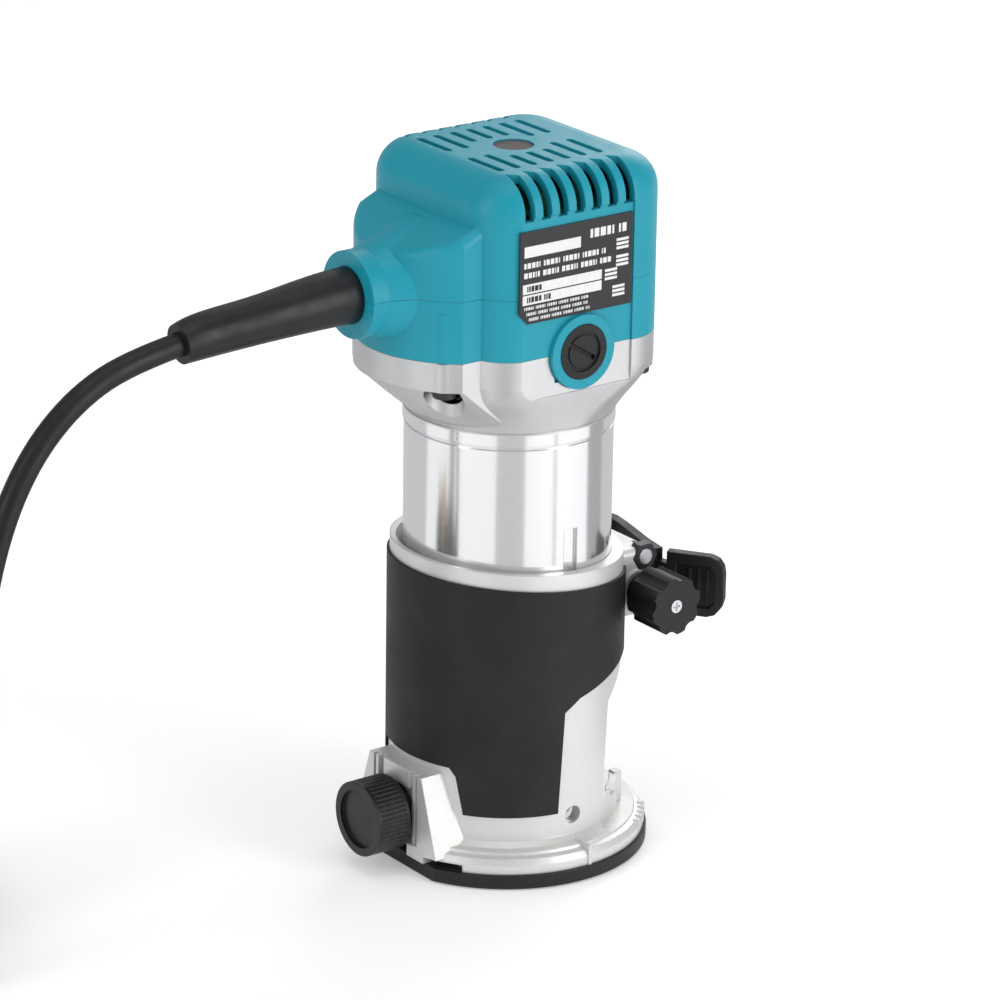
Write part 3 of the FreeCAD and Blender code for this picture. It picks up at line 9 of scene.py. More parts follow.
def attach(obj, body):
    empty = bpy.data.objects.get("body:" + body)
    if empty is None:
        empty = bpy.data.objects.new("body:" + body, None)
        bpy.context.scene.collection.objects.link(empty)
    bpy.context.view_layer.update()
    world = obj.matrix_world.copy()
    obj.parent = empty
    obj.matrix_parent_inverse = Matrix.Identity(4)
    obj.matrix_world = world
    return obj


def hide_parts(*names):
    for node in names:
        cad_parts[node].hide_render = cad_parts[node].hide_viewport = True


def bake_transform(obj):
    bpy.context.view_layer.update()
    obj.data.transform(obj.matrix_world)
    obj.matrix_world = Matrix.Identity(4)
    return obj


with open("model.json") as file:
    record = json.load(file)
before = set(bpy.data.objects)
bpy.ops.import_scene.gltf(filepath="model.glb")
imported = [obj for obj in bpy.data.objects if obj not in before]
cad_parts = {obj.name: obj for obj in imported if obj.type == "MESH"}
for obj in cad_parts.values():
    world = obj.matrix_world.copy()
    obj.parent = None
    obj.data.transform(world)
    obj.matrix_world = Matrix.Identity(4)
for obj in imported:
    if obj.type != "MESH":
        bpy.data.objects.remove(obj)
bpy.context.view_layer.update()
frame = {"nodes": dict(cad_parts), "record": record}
NODES = frame["nodes"]
SCENE = bpy.context.scene


# ---------------------------------------------------------------------------
# Camera: the photograph's viewing angle. Distances are in metres, the lens and sensor in millimetres.
# ---------------------------------------------------------------------------
TARGET = Vector((0.0, 0.0, 0.115))
DISTANCE = 1.48916
AZIMUTH = math.radians(232.916)
ELEVATION = math.radians(19.923)
ROLL = math.radians(0.952)
LENS = 172.72
SENSOR = 36.0
SHIFT = (-0.007545, -0.009205)


def add_camera():
    """The camera, looking at the middle of the tool with a slight roll."""
    back = Vector((math.sin(AZIMUTH) * math.cos(ELEVATION), -math.cos(AZIMUTH) * math.cos(ELEVATION),
                   math.sin(ELEVATION)))
    level = Vector((math.cos(AZIMUTH), math.sin(AZIMUTH), 0.0))
    upright = back.cross(level)
    right = level * math.cos(ROLL) + upright * math.sin(ROLL)
    up = upright * math.cos(ROLL) - level * math.sin(ROLL)
    data = bpy.data.cameras.new("camera")
    data.lens = LENS
    data.sensor_width = SENSOR
    data.shift_x, data.shift_y = SHIFT
    data.clip_start = 0.05
    data.clip_end = 50.0
    camera = bpy.data.objects.new("camera", data)
    place = TARGET + back * DISTANCE
    turn = Matrix((right, up, back)).transposed().to_4x4()
    camera.matrix_world = Matrix.Translation(place) @ turn
    SCENE.collection.objects.link(camera)
    SCENE.camera = camera
    return back, level


# ---------------------------------------------------------------------------
# Materials. Object coordinates are metres in the shared frame.
# ---------------------------------------------------------------------------
COAT_ROUGHNESS = 0.12
BEVEL_SAMPLES = 4
WEAR_RADIUS = 0.0006      # edges this close to a corner look worn
PLASTIC_SPECULAR = 0.32
PLASTIC_GRAIN = 0.00035   # size of the grain on moulded plastic
METAL_GRAIN = 0.0004      # size of the grain on metal


class Surface:
    """A procedural material, built up from layers of noise, pattern and relief."""

    def __init__(self, name, colour, rough, metallic=0.0, coat=0.0, specular=0.5):
        self.name = name
        self.material = bpy.data.materials.new("surface_" + name)
        self.material.use_nodes = True
        self.tree = self.material.node_tree
        self.shader = self.tree.nodes["Principled BSDF"]
        self.shader.inputs["Metallic"].default_value = metallic
        self.shader.inputs["Coat Weight"].default_value = coat
        self.shader.inputs["Coat Roughness"].default_value = COAT_ROUGHNESS
        self.shader.inputs["Specular IOR Level"].default_value = specular
        self.object = self.node("ShaderNodeTexCoord").outputs["Object"]
        self.base = tuple(colour) + (1.0,)
        self.colour = None
        self.rough_value = rough
        self.rough = None
        self.normal = None
        self.shader.inputs["Base Color"].default_value = self.base
        self.shader.inputs["Roughness"].default_value = rough

    def node(self, kind, **inputs):
        """A node with some inputs set, by name or number."""
        made = self.tree.nodes.new(kind)
        for key, value in inputs.items():
            self.plug(made.inputs[key.replace("_", " ")], value)
        return made

    def plug(self, socket, value):
        """Link a socket, or set its value."""
        if isinstance(value, bpy.types.NodeSocket):
            self.tree.links.new(value, socket)
        else:
            socket.default_value = value

    def noise(self, size, detail=3.0, stretch=(1, 1, 1)):
        """Noise with features of about that size in metres, stretched along the axes."""
        scaled = self.node("ShaderNodeVectorMath", Vector=self.object)
        scaled.operation = "MULTIPLY"
        scaled.inputs[1].default_value = [1.0 / (size * s) for s in stretch]
        made = self.node("ShaderNodeTexNoise", Vector=scaled.outputs[0], Scale=1.0, Detail=detail)
        return made.outputs["Fac"]

    def axis(self, name):
        """One coordinate, in metres."""
        return self.node("ShaderNodeSeparateXYZ", Vector=self.object).outputs[name]

    def maths(self, operation, a, b=0.0):
        """One sum on two numbers."""
        made = self.node("ShaderNodeMath")
        made.operation = operation
        self.plug(made.inputs[0], a)
        self.plug(made.inputs[1], b)
        return made.outputs[0]

    def ramp(self, value, low, high, start=0.0, end=1.0):
        """Map a value between two limits to another pair, held at the ends."""
        made = self.node("ShaderNodeMapRange", Value=value)
        for key, number in (("From Min", low), ("From Max", high), ("To Min", start), ("To Max", end)):
            self.plug(made.inputs[key], number)
        return made.outputs["Result"]

    def lines(self, value, pitch):
        """A wave from 0 to 1 along a coordinate."""
        turned = self.maths("MULTIPLY", value, 2 * math.pi / pitch)
        return self.ramp(self.maths("SINE", turned), -1.0, 1.0)

    def tint(self, factor, colour):
        """Mix a colour over what is there."""
        mix = self.node("ShaderNodeMix")
        mix.data_type = "RGBA"
        self.plug(mix.inputs["Factor"], factor)
        self.plug(mix.inputs["A"], self.colour or self.base)
        self.plug(mix.inputs["B"], tuple(colour) + (1.0,))
        self.colour = mix.outputs["Result"]
        self.plug(self.shader.inputs["Base Color"], self.colour)

    def gloss(self, factor, rough):
        """Mix another roughness over what is there."""
        mix = self.node("ShaderNodeMix")
        self.plug(mix.inputs["Factor"], factor)
        self.plug(mix.inputs["A"], self.rough or self.rough_value)
        self.plug(mix.inputs["B"], rough)
        self.rough = mix.outputs["Result"]
        self.plug(self.shader.inputs["Roughness"], self.rough)

    def relief(self, height, depth):
        """Small relief, with a depth in metres."""
        bump = self.node("ShaderNodeBump", Height=height, Distance=depth, Strength=1.0)
        if self.normal:
            self.plug(bump.inputs["Normal"], self.normal)
        self.normal = bump.outputs["Normal"]
        self.plug(self.shader.inputs["Normal"], self.normal)

    def soft_edges(self, radius):
        """Round the edges a little in the shading."""
        bevel = self.node("ShaderNodeBevel", Radius=radius)
        bevel.samples = BEVEL_SAMPLES
        self.normal = bevel.outputs["Normal"]
        self.plug(self.shader.inputs["Normal"], self.normal)

    def worn(self, colour, amount):
        """Edge wear, faint and broken up: where softened edges differ from the true normal."""
        sharp = self.node("ShaderNodeNewGeometry").outputs["Normal"]
        soft = self.node("ShaderNodeBevel", Radius=WEAR_RADIUS)
        soft.samples = BEVEL_SAMPLES
        dot = self.node("ShaderNodeVectorMath")
        dot.operation = "DOT_PRODUCT"
        self.plug(dot.inputs[0], sharp)
        self.plug(dot.inputs[1], soft.outputs["Normal"])
        edge = self.ramp(dot.outputs["Value"], 0.99, 0.80, 0.0, amount)
        broken = self.ramp(self.noise(0.0025, 4.0), 0.42, 0.6)
        self.tint(self.maths("MULTIPLY", edge, broken), colour)


def moulded(name, colour, dark, rough, depth=0.000012, wear=None, coat=0.0):
    """Moulded plastic: fine spark-eroded grain, patchy sheen and slight colour drift."""
    s = Surface(name, colour, rough, coat=coat, specular=PLASTIC_SPECULAR)
    s.soft_edges(0.00045)
    s.tint(s.ramp(s.noise(0.022, 4.0), 0.35, 0.75, 0.0, 0.55), dark)
    s.gloss(s.ramp(s.noise(0.006, 4.0), 0.3, 0.7), rough + 0.1)
    s.relief(s.noise(PLASTIC_GRAIN, 2.0), depth)
    if wear:
        s.worn(wear, 0.5)
    return s


def metal(name, colour, rough, depth=0.000006, stretch=(1, 1, 1), dark=None, metallic=1.0):
    """Metal with fine grain, patchy polish and a little staining."""
    s = Surface(name, colour, rough, metallic=metallic)
    s.soft_edges(0.0003)
    s.tint(s.ramp(s.noise(0.009, 5.0), 0.4, 0.8, 0.0, 0.6), dark or [c * 0.75 for c in colour])
    s.gloss(s.ramp(s.noise(0.004, 4.0), 0.3, 0.7), rough + 0.12)
    s.relief(s.noise(METAL_GRAIN, 2.0, stretch), depth)
    return s


FLARE_Z = 0.1444          # where the polished tube meets the cast flare
FLARE_EDGE = 0.0003       # half the height over which the two finishes meet


def housing_surface():
    """Cast and bead-blasted above, turned and polished on the tube."""
    s = Surface("housing_metal", (0.60, 0.60, 0.605), 0.36, metallic=0.9)
    s.soft_edges(0.0004)
    on_tube = s.ramp(s.axis("Z"), FLARE_Z + FLARE_EDGE, FLARE_Z - FLARE_EDGE)
    s.tint(s.ramp(s.noise(0.012, 4.0), 0.4, 0.8, 0.0, 0.4), (0.50, 0.50, 0.51))
    s.gloss(s.ramp(s.noise(0.004, 4.0), 0.3, 0.7), 0.46)
    s.gloss(on_tube, s.ramp(s.noise(0.0015, 5.0, (4, 4, 0.2)), 0.3, 0.75, 0.10, 0.20))
    s.tint(on_tube, (0.83, 0.83, 0.84))
    grain = s.maths("MULTIPLY", s.noise(0.0003, 2.0), s.maths("SUBTRACT", 1.0, on_tube))
    s.relief(grain, 0.00002)
    s.relief(s.maths("MULTIPLY", s.noise(0.0002, 3.0, (9, 9, 0.25)), on_tube), 0.0000012)
    return s


def label_surface():
    """Black film of the label, and the black marks in its white boxes."""
    s = Surface("label_film", (0.010, 0.010, 0.012), 0.36, coat=0.1, specular=0.4)
    s.tint(s.ramp(s.noise(0.01, 3.0), 0.3, 0.8, 0.0, 0.5), (0.02, 0.02, 0.023))
    s.gloss(s.ramp(s.noise(0.003, 3.0), 0.3, 0.7), 0.42)
    s.relief(s.noise(0.0012, 3.0), 0.000006)
    return s


def ink_surface():
    """White printing ink, slightly uneven."""
    s = Surface("white_ink", (0.80, 0.80, 0.79), 0.42)
    s.tint(s.ramp(s.noise(0.0016, 4.0), 0.35, 0.7, 0.0, 0.6), (0.68, 0.68, 0.67))
    s.gloss(s.ramp(s.noise(0.003, 3.0), 0.3, 0.7), 0.52)
    s.relief(s.noise(0.0004, 2.0), 0.000004)
    return s.material


def grip_surface():
    """Soft rubber with a matt bloom, rubbed shinier in patches, and faint upright lines."""
    s = Surface("grip_rubber", (0.011, 0.011, 0.0125), 0.56, specular=0.28)
    s.soft_edges(0.0005)
    s.tint(s.ramp(s.noise(0.014, 5.0), 0.35, 0.75, 0.0, 0.7), (0.020, 0.020, 0.022))
    s.gloss(s.ramp(s.noise(0.02, 4.0), 0.35, 0.7), 0.47)
    s.relief(s.noise(0.0003, 2.0), 0.00003)
    s.relief(s.noise(0.0012, 1.0, (1, 1, 14)), 0.00003)
    return s


SHEET_PITCH = 0.0006      # thickness of one steel sheet of the core


def laminated_surface():
    """Stacked steel sheets: fine dark lines across the axis."""
    s = metal("core_steel", (0.34, 0.34, 0.36), 0.4, stretch=(3, 3, 0.5))
    seam = s.ramp(s.lines(s.axis("Z"), SHEET_PITCH), 0.0, 0.25, 1.0, 0.0)
    s.tint(seam, (0.08, 0.07, 0.065))
    s.relief(s.lines(s.axis("Z"), SHEET_PITCH), 0.00004)
    return s


WIRE_PITCH = 0.0006       # width of one wire of the windings


def winding_surface():
    """Varnished copper wire laid side by side, with painted shade in the gaps between the wires."""
    s = metal("copper_wire", (0.55, 0.20, 0.07), 0.3, dark=(0.30, 0.09, 0.03))
    s.relief(s.noise(WIRE_PITCH, 1.0, (1, 1, 8)), 0.00025)
    # Darker where the relief is low, in the gaps between the wires: painted shade.
    s.tint(s.ramp(s.noise(WIRE_PITCH, 1.0, (1, 1, 8)), 0.5, 0.3), (0.15, 0.045, 0.02))
    return s


TRACK_LOW, TRACK_HIGH = 0.1665, 0.1745   # where the brushes run on the commutator
TRACK_EDGE = 0.001        # half the height over which the track fades


def commutator_surface():
    """Turned copper with a brown brush track."""
    s = metal("copper_bar", (0.72, 0.36, 0.20), 0.28, stretch=(6, 6, 0.4))
    track = s.maths("MULTIPLY", s.ramp(s.axis("Z"), TRACK_LOW - TRACK_EDGE, TRACK_LOW + TRACK_EDGE),
                    s.ramp(s.axis("Z"), TRACK_HIGH + TRACK_EDGE, TRACK_HIGH - TRACK_EDGE))
    s.tint(s.maths("MULTIPLY", track, 0.75), (0.17, 0.09, 0.06))
    return s


COPPER_PITCH = 0.0032     # distance between two copper runs of the board


def board_surface():
    """Green board with paler copper runs under the mask."""
    s = moulded("circuit_board", (0.015, 0.10, 0.045), (0.01, 0.07, 0.03), 0.3)
    runs = s.ramp(s.lines(s.axis("X"), COPPER_PITCH), 0.72, 0.8)
    s.tint(s.maths("MULTIPLY", runs, 0.55), (0.05, 0.20, 0.08))
    return s


def lens_surface():
    """Clear red lens."""
    s = Surface("lens", (0.55, 0.06, 0.035), 0.12, coat=0.4)
    s.shader.inputs["Transmission Weight"].default_value = 0.35
    s.tint(s.ramp(s.noise(0.0015, 2.0), 0.3, 0.7, 0.0, 0.4), (0.40, 0.03, 0.02))
    s.gloss(s.ramp(s.noise(0.001, 2.0), 0.3, 0.7), 0.2)
    return s


def painted_surface():
    """Silver paint over a die casting, with a slight orange peel and softened edges."""
    s = Surface("base_metal", (0.68, 0.675, 0.662), 0.38, metallic=0.42, coat=0.10)
    s.soft_edges(0.0005)
    s.tint(s.ramp(s.noise(0.00035, 2.0), 0.45, 0.7, 0.0, 0.45), (0.82, 0.815, 0.80))
    s.tint(s.ramp(s.noise(0.016, 4.0), 0.45, 0.8, 0.0, 0.4), (0.64, 0.635, 0.62))
    s.gloss(s.ramp(s.noise(0.004, 4.0), 0.3, 0.7), 0.46)
    s.relief(s.noise(0.0007, 2.0), 0.00002)
    return s


def lead_surface(name, rough):
    """Smooth extruded rubber, faintly dusty."""
    s = Surface(name, (0.009, 0.009, 0.0105), rough, specular=0.32)
    s.tint(s.ramp(s.noise(0.008, 5.0), 0.45, 0.8, 0.0, 0.6), (0.017, 0.017, 0.019))
    s.gloss(s.ramp(s.noise(0.006, 4.0), 0.3, 0.7), rough + 0.14)
    s.relief(s.noise(0.0004, 2.0), 0.00001)
    return s


BLACK = (0.010, 0.010, 0.0115)
BLACK_2 = (0.016, 0.016, 0.018)
RUBBED = (0.07, 0.07, 0.075)


def make_surfaces():
    """One material for each of the record's slots."""
    made = [
        housing_surface(), label_surface(), grip_surface(), laminated_surface(), winding_surface(),
        commutator_surface(), board_surface(), lens_surface(), painted_surface(),
        lead_surface("guard_rubber", 0.34), lead_surface("cord_rubber", 0.38),
        lead_surface("plug_rubber", 0.42),
        moulded("shell_plastic", (0.008, 0.305, 0.400), (0.006, 0.275, 0.365), 0.36, depth=0.000016,
                wear=(0.05, 0.36, 0.44)),
        moulded("plug_metal", (0.060, 0.050, 0.046), (0.045, 0.036, 0.033), 0.55),
        moulded("black_plastic", BLACK, BLACK_2, 0.40, wear=RUBBED),
        moulded("switch_plastic", BLACK, BLACK_2, 0.26, coat=0.2, wear=RUBBED),
        moulded("dial_plastic", BLACK, BLACK_2, 0.45, wear=RUBBED),
        moulded("knob_plastic", BLACK, BLACK_2, 0.36, wear=RUBBED),
        moulded("plate_plastic", BLACK, BLACK_2, 0.44, wear=RUBBED),
        moulded("lever_plastic", BLACK, BLACK_2, 0.42, wear=RUBBED),
        moulded("fan_plastic", (0.045, 0.045, 0.045), (0.03, 0.03, 0.03), 0.5),
        moulded("carbon", (0.03, 0.03, 0.032), (0.05, 0.05, 0.053), 0.6),
        metal("brass_parts", (0.72, 0.50, 0.20), 0.28, dark=(0.45, 0.29, 0.10), stretch=(5, 1, 1)),
        metal("spring_steel", (0.55, 0.55, 0.57), 0.25),
        metal("bearing_steel", (0.70, 0.70, 0.72), 0.14, stretch=(4, 4, 0.4)),
        metal("machined_steel", (0.58, 0.58, 0.60), 0.26, stretch=(5, 5, 0.3)),
        metal("dark_steel", (0.055, 0.055, 0.06), 0.36, metallic=0.8),
        metal("bright_screw", (0.76, 0.76, 0.78), 0.22),
        metal("nut_steel", (0.22, 0.22, 0.235), 0.34, depth=0.00001),
    ]
    return {s.name: s.material for s in made}


SLOT_OF = {p["node"]: p["material_slot"] for p in frame["record"]["subparts"]}


def dress_nodes(surfaces):
    """Give every CAD node the procedural material of its slot."""
    for name, node in NODES.items():
        node.data.materials.clear()
        node.data.materials.append(surfaces[SLOT_OF[name]])


# ---------------------------------------------------------------------------
# Mesh helpers
# ---------------------------------------------------------------------------
def mesh_piece(name, build, material, body, edge=0.0):
    """A mesh piece made by a function, with slightly rounded edges when an edge width is given, riding on a
    body.
    """
    mesh = bpy.data.meshes.new(name)
    work = bmesh.new()
    build(work)
    bmesh.ops.recalc_face_normals(work, faces=work.faces)
    work.to_mesh(mesh)
    work.free()
    piece = bpy.data.objects.new(name, mesh)
    SCENE.collection.objects.link(piece)
    mesh.materials.append(material)
    if edge:
        bevel = piece.modifiers.new("edges", "BEVEL")
        bevel.width = edge
        bevel.segments = 3
        bevel.limit_method = "ANGLE"
        bevel.angle_limit = math.radians(35)
    mesh.shade_smooth()
    smooth = piece.modifiers.new("normals", "WEIGHTED_NORMAL")
    smooth.keep_sharp = True
    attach(piece, body)
    return piece


def sweep(work, path, section):
    """Sweep an outline (side, up pairs) round a closed path with given frames: (centre, side, up)."""
    rings = []
    for centre, side, up in path:
        rings.append([work.verts.new(centre + side * a + up * b) for a, b in section])
    count = len(section)
    for one, two in zip(rings, rings[1:] + rings[:1]):
        for i in range(count):
            j = (i + 1) % count
            work.faces.new((one[i], one[j], two[j], two[i]))


# ---------------------------------------------------------------------------
# Mains lead: hanging part, coil and run into the plug
# ---------------------------------------------------------------------------
LEAD_D = 0.0075
MM = 0.001
ROUTE = [(0.0, 120.3, 185.04), (0.0, 138.0, 182.6), (0.0, 155.0, 175.6), (-0.2, 169.5, 163.2),
         (-0.8, 180.5, 146.5), (-1.5, 188.3, 125.0), (-2.2, 192.4, 102.0), (-2.8, 193.9, 80.0),
         (-3.4, 194.2, 60.0), (-3.9, 195.6, 41.5), (-4.1, 200.3, 26.5), (-3.8, 209.3, 14.6),
         (-2.3, 221.3, 7.3), (0.7, 234.5, 4.4)]
COIL_CENTRE = (48.0, 228.0)
COIL_START = 172.0        # where the lead meets the coil, in degrees from +X
COIL_STEP = 22.5          # from one point to the next; the turns run clockwise, seen from above
COIL_TURNS = 7.28
TURNS = [(47.9, 4.7), (40.2, 4.7), (36.35, 11.4), (44.05, 11.4), (47.9, 18.1), (40.2, 18.1),
         (44.05, 24.8), (36.35, 24.8)]   # radius and height of each turn
CROSSING = 0.2            # share of a turn in which the lead moves over to the next one
SPLINE_SHRINK = 0.981     # a smooth line through a ring of control points runs inside them
PLUG_TAIL = (77.0, 219.2, 40.65)   # where the lead enters the plug
PLUG_TURN = math.radians(240.0)
PLUG_LEAD_Z = 12.0        # height of the lead in the plug's own coordinates
RUN_OUT = [(67.0, 260.5, 25.8), (76.0, 252.6, 28.2), (81.3, 241.9, 32.0), (82.0, 230.0, 36.2)]
TAIL_STEPS = (-0.5, 14.0)   # the last two points, measured into the plug


def coil_points():
    """Control points of the coil: its turns lie beside and on each other."""
    points = []
    turns = COIL_STEP / 360
    while turns < COIL_TURNS:
        index = int(turns)
        here, after = TURNS[index], TURNS[min(index + 1, len(TURNS) - 1)]
        share = max((turns - index - 1 + CROSSING) / CROSSING, 0.0)
        share = share * share * (3 - 2 * share)
        radius = (here[0] + (after[0] - here[0]) * share) / SPLINE_SHRINK
        height = here[1] + (after[1] - here[1]) * share
        angle = math.radians(COIL_START) - turns * 2 * math.pi
        points.append((COIL_CENTRE[0] + radius * math.cos(angle), COIL_CENTRE[1] + radius * math.sin(angle),
                       height))
        turns += COIL_STEP / 360
    return points


def plug_point(x, y, z):
    """A point given in the plug's own millimetres, in the shared frame's metres."""
    along = Vector((math.cos(PLUG_TURN), math.sin(PLUG_TURN), 0))
    across = Vector((-math.sin(PLUG_TURN), math.cos(PLUG_TURN), 0))
    return (Vector(PLUG_TAIL) + along * x + across * y + Vector((0, 0, z - PLUG_LEAD_Z))) * MM


def lead_curve(bevel):
    """The lead's smooth line, as a curve object."""
    tail = [tuple(plug_point(step, 0, PLUG_LEAD_Z) / MM) for step in TAIL_STEPS]
    points = ROUTE + coil_points() + RUN_OUT + tail
    curve = bpy.data.curves.new("lead_line", "CURVE")
    curve.dimensions = "3D"
    spline = curve.splines.new("NURBS")
    spline.points.add(len(points) - 1)
    for point, (x, y, z) in zip(spline.points, points):
        point.co = (x * MM, y * MM, z * MM, 1.0)
    spline.order_u = 3
    spline.use_endpoint_u = True
    spline.resolution_u = 6
    curve.bevel_depth = bevel
    curve.bevel_resolution = 5
    curve.use_fill_caps = bevel > 0
    return bpy.data.objects.new("lead_line", curve)


def curve_mesh(curve):
    """The mesh that a curve object makes."""
    SCENE.collection.objects.link(curve)
    bpy.context.view_layer.update()
    mesh = bpy.data.meshes.new_from_object(curve.evaluated_get(bpy.context.evaluated_depsgraph_get()))
    bpy.data.objects.remove(curve)
    return mesh


def add_lead(material):
    """The lead as one tube, which bends between the coil on the floor and the motor."""
    path = [tuple(v.co) for v in curve_mesh(lead_curve(0.0)).vertices]
    mesh = curve_mesh(lead_curve(LEAD_D / 2))
    lead = bpy.data.objects.new("mains_lead", mesh)
    SCENE.collection.objects.link(lead)
    mesh.materials.clear()
    mesh.materials.append(material)
    mesh.shade_smooth()
    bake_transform(lead)
    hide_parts("power_cord", "power_cord_coil")
    return lead, path


TIE_ANGLES = (208.0, 140.0)
BUNDLE_R, BUNDLE_Z = 0.0421, 0.01475   # middle of the bundle of turns
STRAP_HALF_W, STRAP_HALF_H = 0.0102, 0.0141
STRAP_CORNER = 0.0042
STRAP_OUTLINE = [(-0.00028, -0.0055), (0.00028, -0.0055), (0.00042, -0.0035), (0.00042, 0.0035),
                 (0.00028, 0.0055), (-0.00028, 0.0055)]


def add_tie(index, angle, material):
    """A flat strap around the coil's turns."""
    turn = math.radians(angle)
    out = Vector((math.cos(turn), math.sin(turn), 0.0))
    along = Vector((-math.sin(turn), math.cos(turn), 0.0))
    middle = Vector((COIL_CENTRE[0], COIL_CENTRE[1], 0.0)) * MM + out * BUNDLE_R + Vector((0, 0, BUNDLE_Z))
    path = []
    for quarter, (sx, sz) in enumerate(((1, 1), (-1, 1), (-1, -1), (1, -1))):
        for step in range(7):
            a = math.radians(90 * quarter + 15 * step)
            heading = out * math.cos(a) + Vector((0, 0, math.sin(a)))
            centre = (middle + out * sx * (STRAP_HALF_W - STRAP_CORNER)
                      + Vector((0, 0, sz * (STRAP_HALF_H - STRAP_CORNER))) + heading * STRAP_CORNER)
            path.append((centre, heading, along))
    return mesh_piece(f"coil_tie_{index}", lambda work: sweep(work, path, STRAP_OUTLINE), material, "base")


RING_STEPS = 28
RING_COUNT = 5
RING_START, RING_PITCH = 3.0, 4.0    # along the plug's tail, in its own millimetres
TAIL_LENGTH = 23.0
TAIL_R, TAIL_SPREAD = 5.0, 2.4       # thin end of the tail, and how much wider its other end is


def ring_path(centre, along, across, radius):
    """Frames round a circle, for a sweep."""
    path = []
    for i in range(RING_STEPS):
        angle = 2 * math.pi * i / RING_STEPS
        out = across * math.cos(angle) + Vector((0, 0, math.sin(angle)))
        path.append((centre + out * radius, out, along))
    return path


def add_plug_rings(material):
    """Flexible rings moulded round the plug's tail."""
    along = (plug_point(1, 0, 0) - plug_point(0, 0, 0)).normalized()
    across = (plug_point(0, 1, 0) - plug_point(0, 0, 0)).normalized()
    bead = [(0.0, -0.0013), (0.0011, -0.0010), (0.0014, 0.0), (0.0011, 0.0010), (0.0, 0.0013),
            (-0.0012, 0.0010), (-0.0012, -0.0010)]

    def build(work):
        for i in range(RING_COUNT):
            x = RING_START + RING_PITCH * i
            radius = (TAIL_R + TAIL_SPREAD * x / TAIL_LENGTH) * MM
            sweep(work, ring_path(plug_point(x, 0, PLUG_LEAD_Z), along, across, radius), bead)
    return mesh_piece("plug_tail_rings", build, material, "base")


COVER_X = 46.0                       # middle of the fuse cover, in the plug's own millimetres
COVER_HALF_X, COVER_HALF_Y = 4.2, 12.5
COVER_TOP = 23.3
COVER_LEVELS = [(21.8, 0.0), (23.0, 0.0), (COVER_TOP, 0.4)]   # height, and how far the outline is drawn in
GROOVE_HALF_X, GROOVE_HALF_Y = 0.7, 4.0
GROOVE_DEPTH = 0.0006


def add_fuse_cover(material):
    """Fuse cover between the plug's pins, with a groove for a blade."""
    corners = [(-1, -1), (1, -1), (1, 1), (-1, 1)]

    def build(work):
        rings = [[work.verts.new(plug_point(COVER_X + x * (COVER_HALF_X - inset),
                                            y * (COVER_HALF_Y - inset), z)) for x, y in corners]
                 for z, inset in COVER_LEVELS]
        for low, high in zip(rings, rings[1:]):
            for i in range(4):
                j = (i + 1) % 4
                work.faces.new((low[i], low[j], high[j], high[i]))
        work.faces.new(rings[0])
        groove = [work.verts.new(plug_point(COVER_X + x * GROOVE_HALF_X, y * GROOVE_HALF_Y, COVER_TOP))
                  for x, y in corners]
        floor = [work.verts.new(v.co - Vector((0, 0, GROOVE_DEPTH))) for v in groove]
        for i in range(4):
            j = (i + 1) % 4
            work.faces.new((rings[-1][i], rings[-1][j], groove[j], groove[i]))
            work.faces.new((groove[i], groove[j], floor[j], floor[i]))
        work.faces.new(floor)
    return mesh_piece("plug_fuse_cover", build, material, "base", edge=0.0003)


# ---------------------------------------------------------------------------
# Label print: bars, boxes and rows of dashes that stand in for the printing
# ---------------------------------------------------------------------------
LABEL_FACE = -0.0358      # outer face of the label, along X
LABEL_LEFT = 0.0238       # the label's upper left corner, as read from outside, along Y
LABEL_TOP = 0.2113
INK = 0.00004             # thickness of the ink above the film


def printed(name, shapes, lift, material):
    """Thin flat shapes on the label: (left, top, width, height) in millimetres from its corner."""
    def build(work):
        for left, top, width, height in shapes:
            y0, y1 = LABEL_LEFT - left * MM, LABEL_LEFT - (left + width) * MM
            z0, z1 = LABEL_TOP - top * MM, LABEL_TOP - (top + height) * MM
            corners = [(y0, z0), (y1, z0), (y1, z1), (y0, z1)]
            front = [work.verts.new((LABEL_FACE - lift - INK, y, z)) for y, z in corners]
            back = [work.verts.new((LABEL_FACE - lift + INK / 2, y, z)) for y, z in corners]
            work.faces.new(front)
            work.faces.new(back[::-1])
            for i in range(4):
                j = (i + 1) % 4
                work.faces.new((front[j], front[i], back[i], back[j]))
    return mesh_piece(name, build, material, "motor")


def dashes(left, right, top, height, letter):
    """A row of small marks with uneven widths and word gaps."""
    shapes = []
    place = left
    count = 0
    while True:
        count += 1
        width = letter * (0.65 + 0.35 * math.sin(5.1 * count + 3.7 * top))
        if place + width > right:
            return shapes
        shapes.append((place, top, width, height))
        place += width + letter * (0.9 if count % 5 == 0 else 0.28)


def add_label_print(white, black):
    """White print with two white boxes that carry black marks."""
    shapes = [(1.6, 4.6, 21.0, 3.4), (1.2, 16.3, 29.6, 3.0), (1.2, 19.7, 29.6, 3.0)]
    shapes += dashes(26.2, 41.0, 3.0, 2.7, 2.0)
    shapes += dashes(1.6, 33.5, 9.7, 1.7, 1.35) + dashes(1.6, 34.5, 12.7, 1.7, 1.35)
    for row in range(3):
        shapes += dashes(1.8 + 0.9 * row, 26.5, 23.4 + 1.75 * row, 0.95, 0.8)
    for left, top in ((36.2, 7.6), (36.2, 12.9), (32.0, 16.6), (35.0, 22.2)):
        shapes += [(left, top + 1.3 * bar, 4.6, 0.85) for bar in range(3)]
    printed("label_print", shapes, 0.0, white)
    marks = dashes(2.8, 9.5, 16.95, 1.7, 1.2) + dashes(2.8, 12.5, 20.35, 1.7, 1.2)
    printed("label_marks", marks, 2 * INK, black)


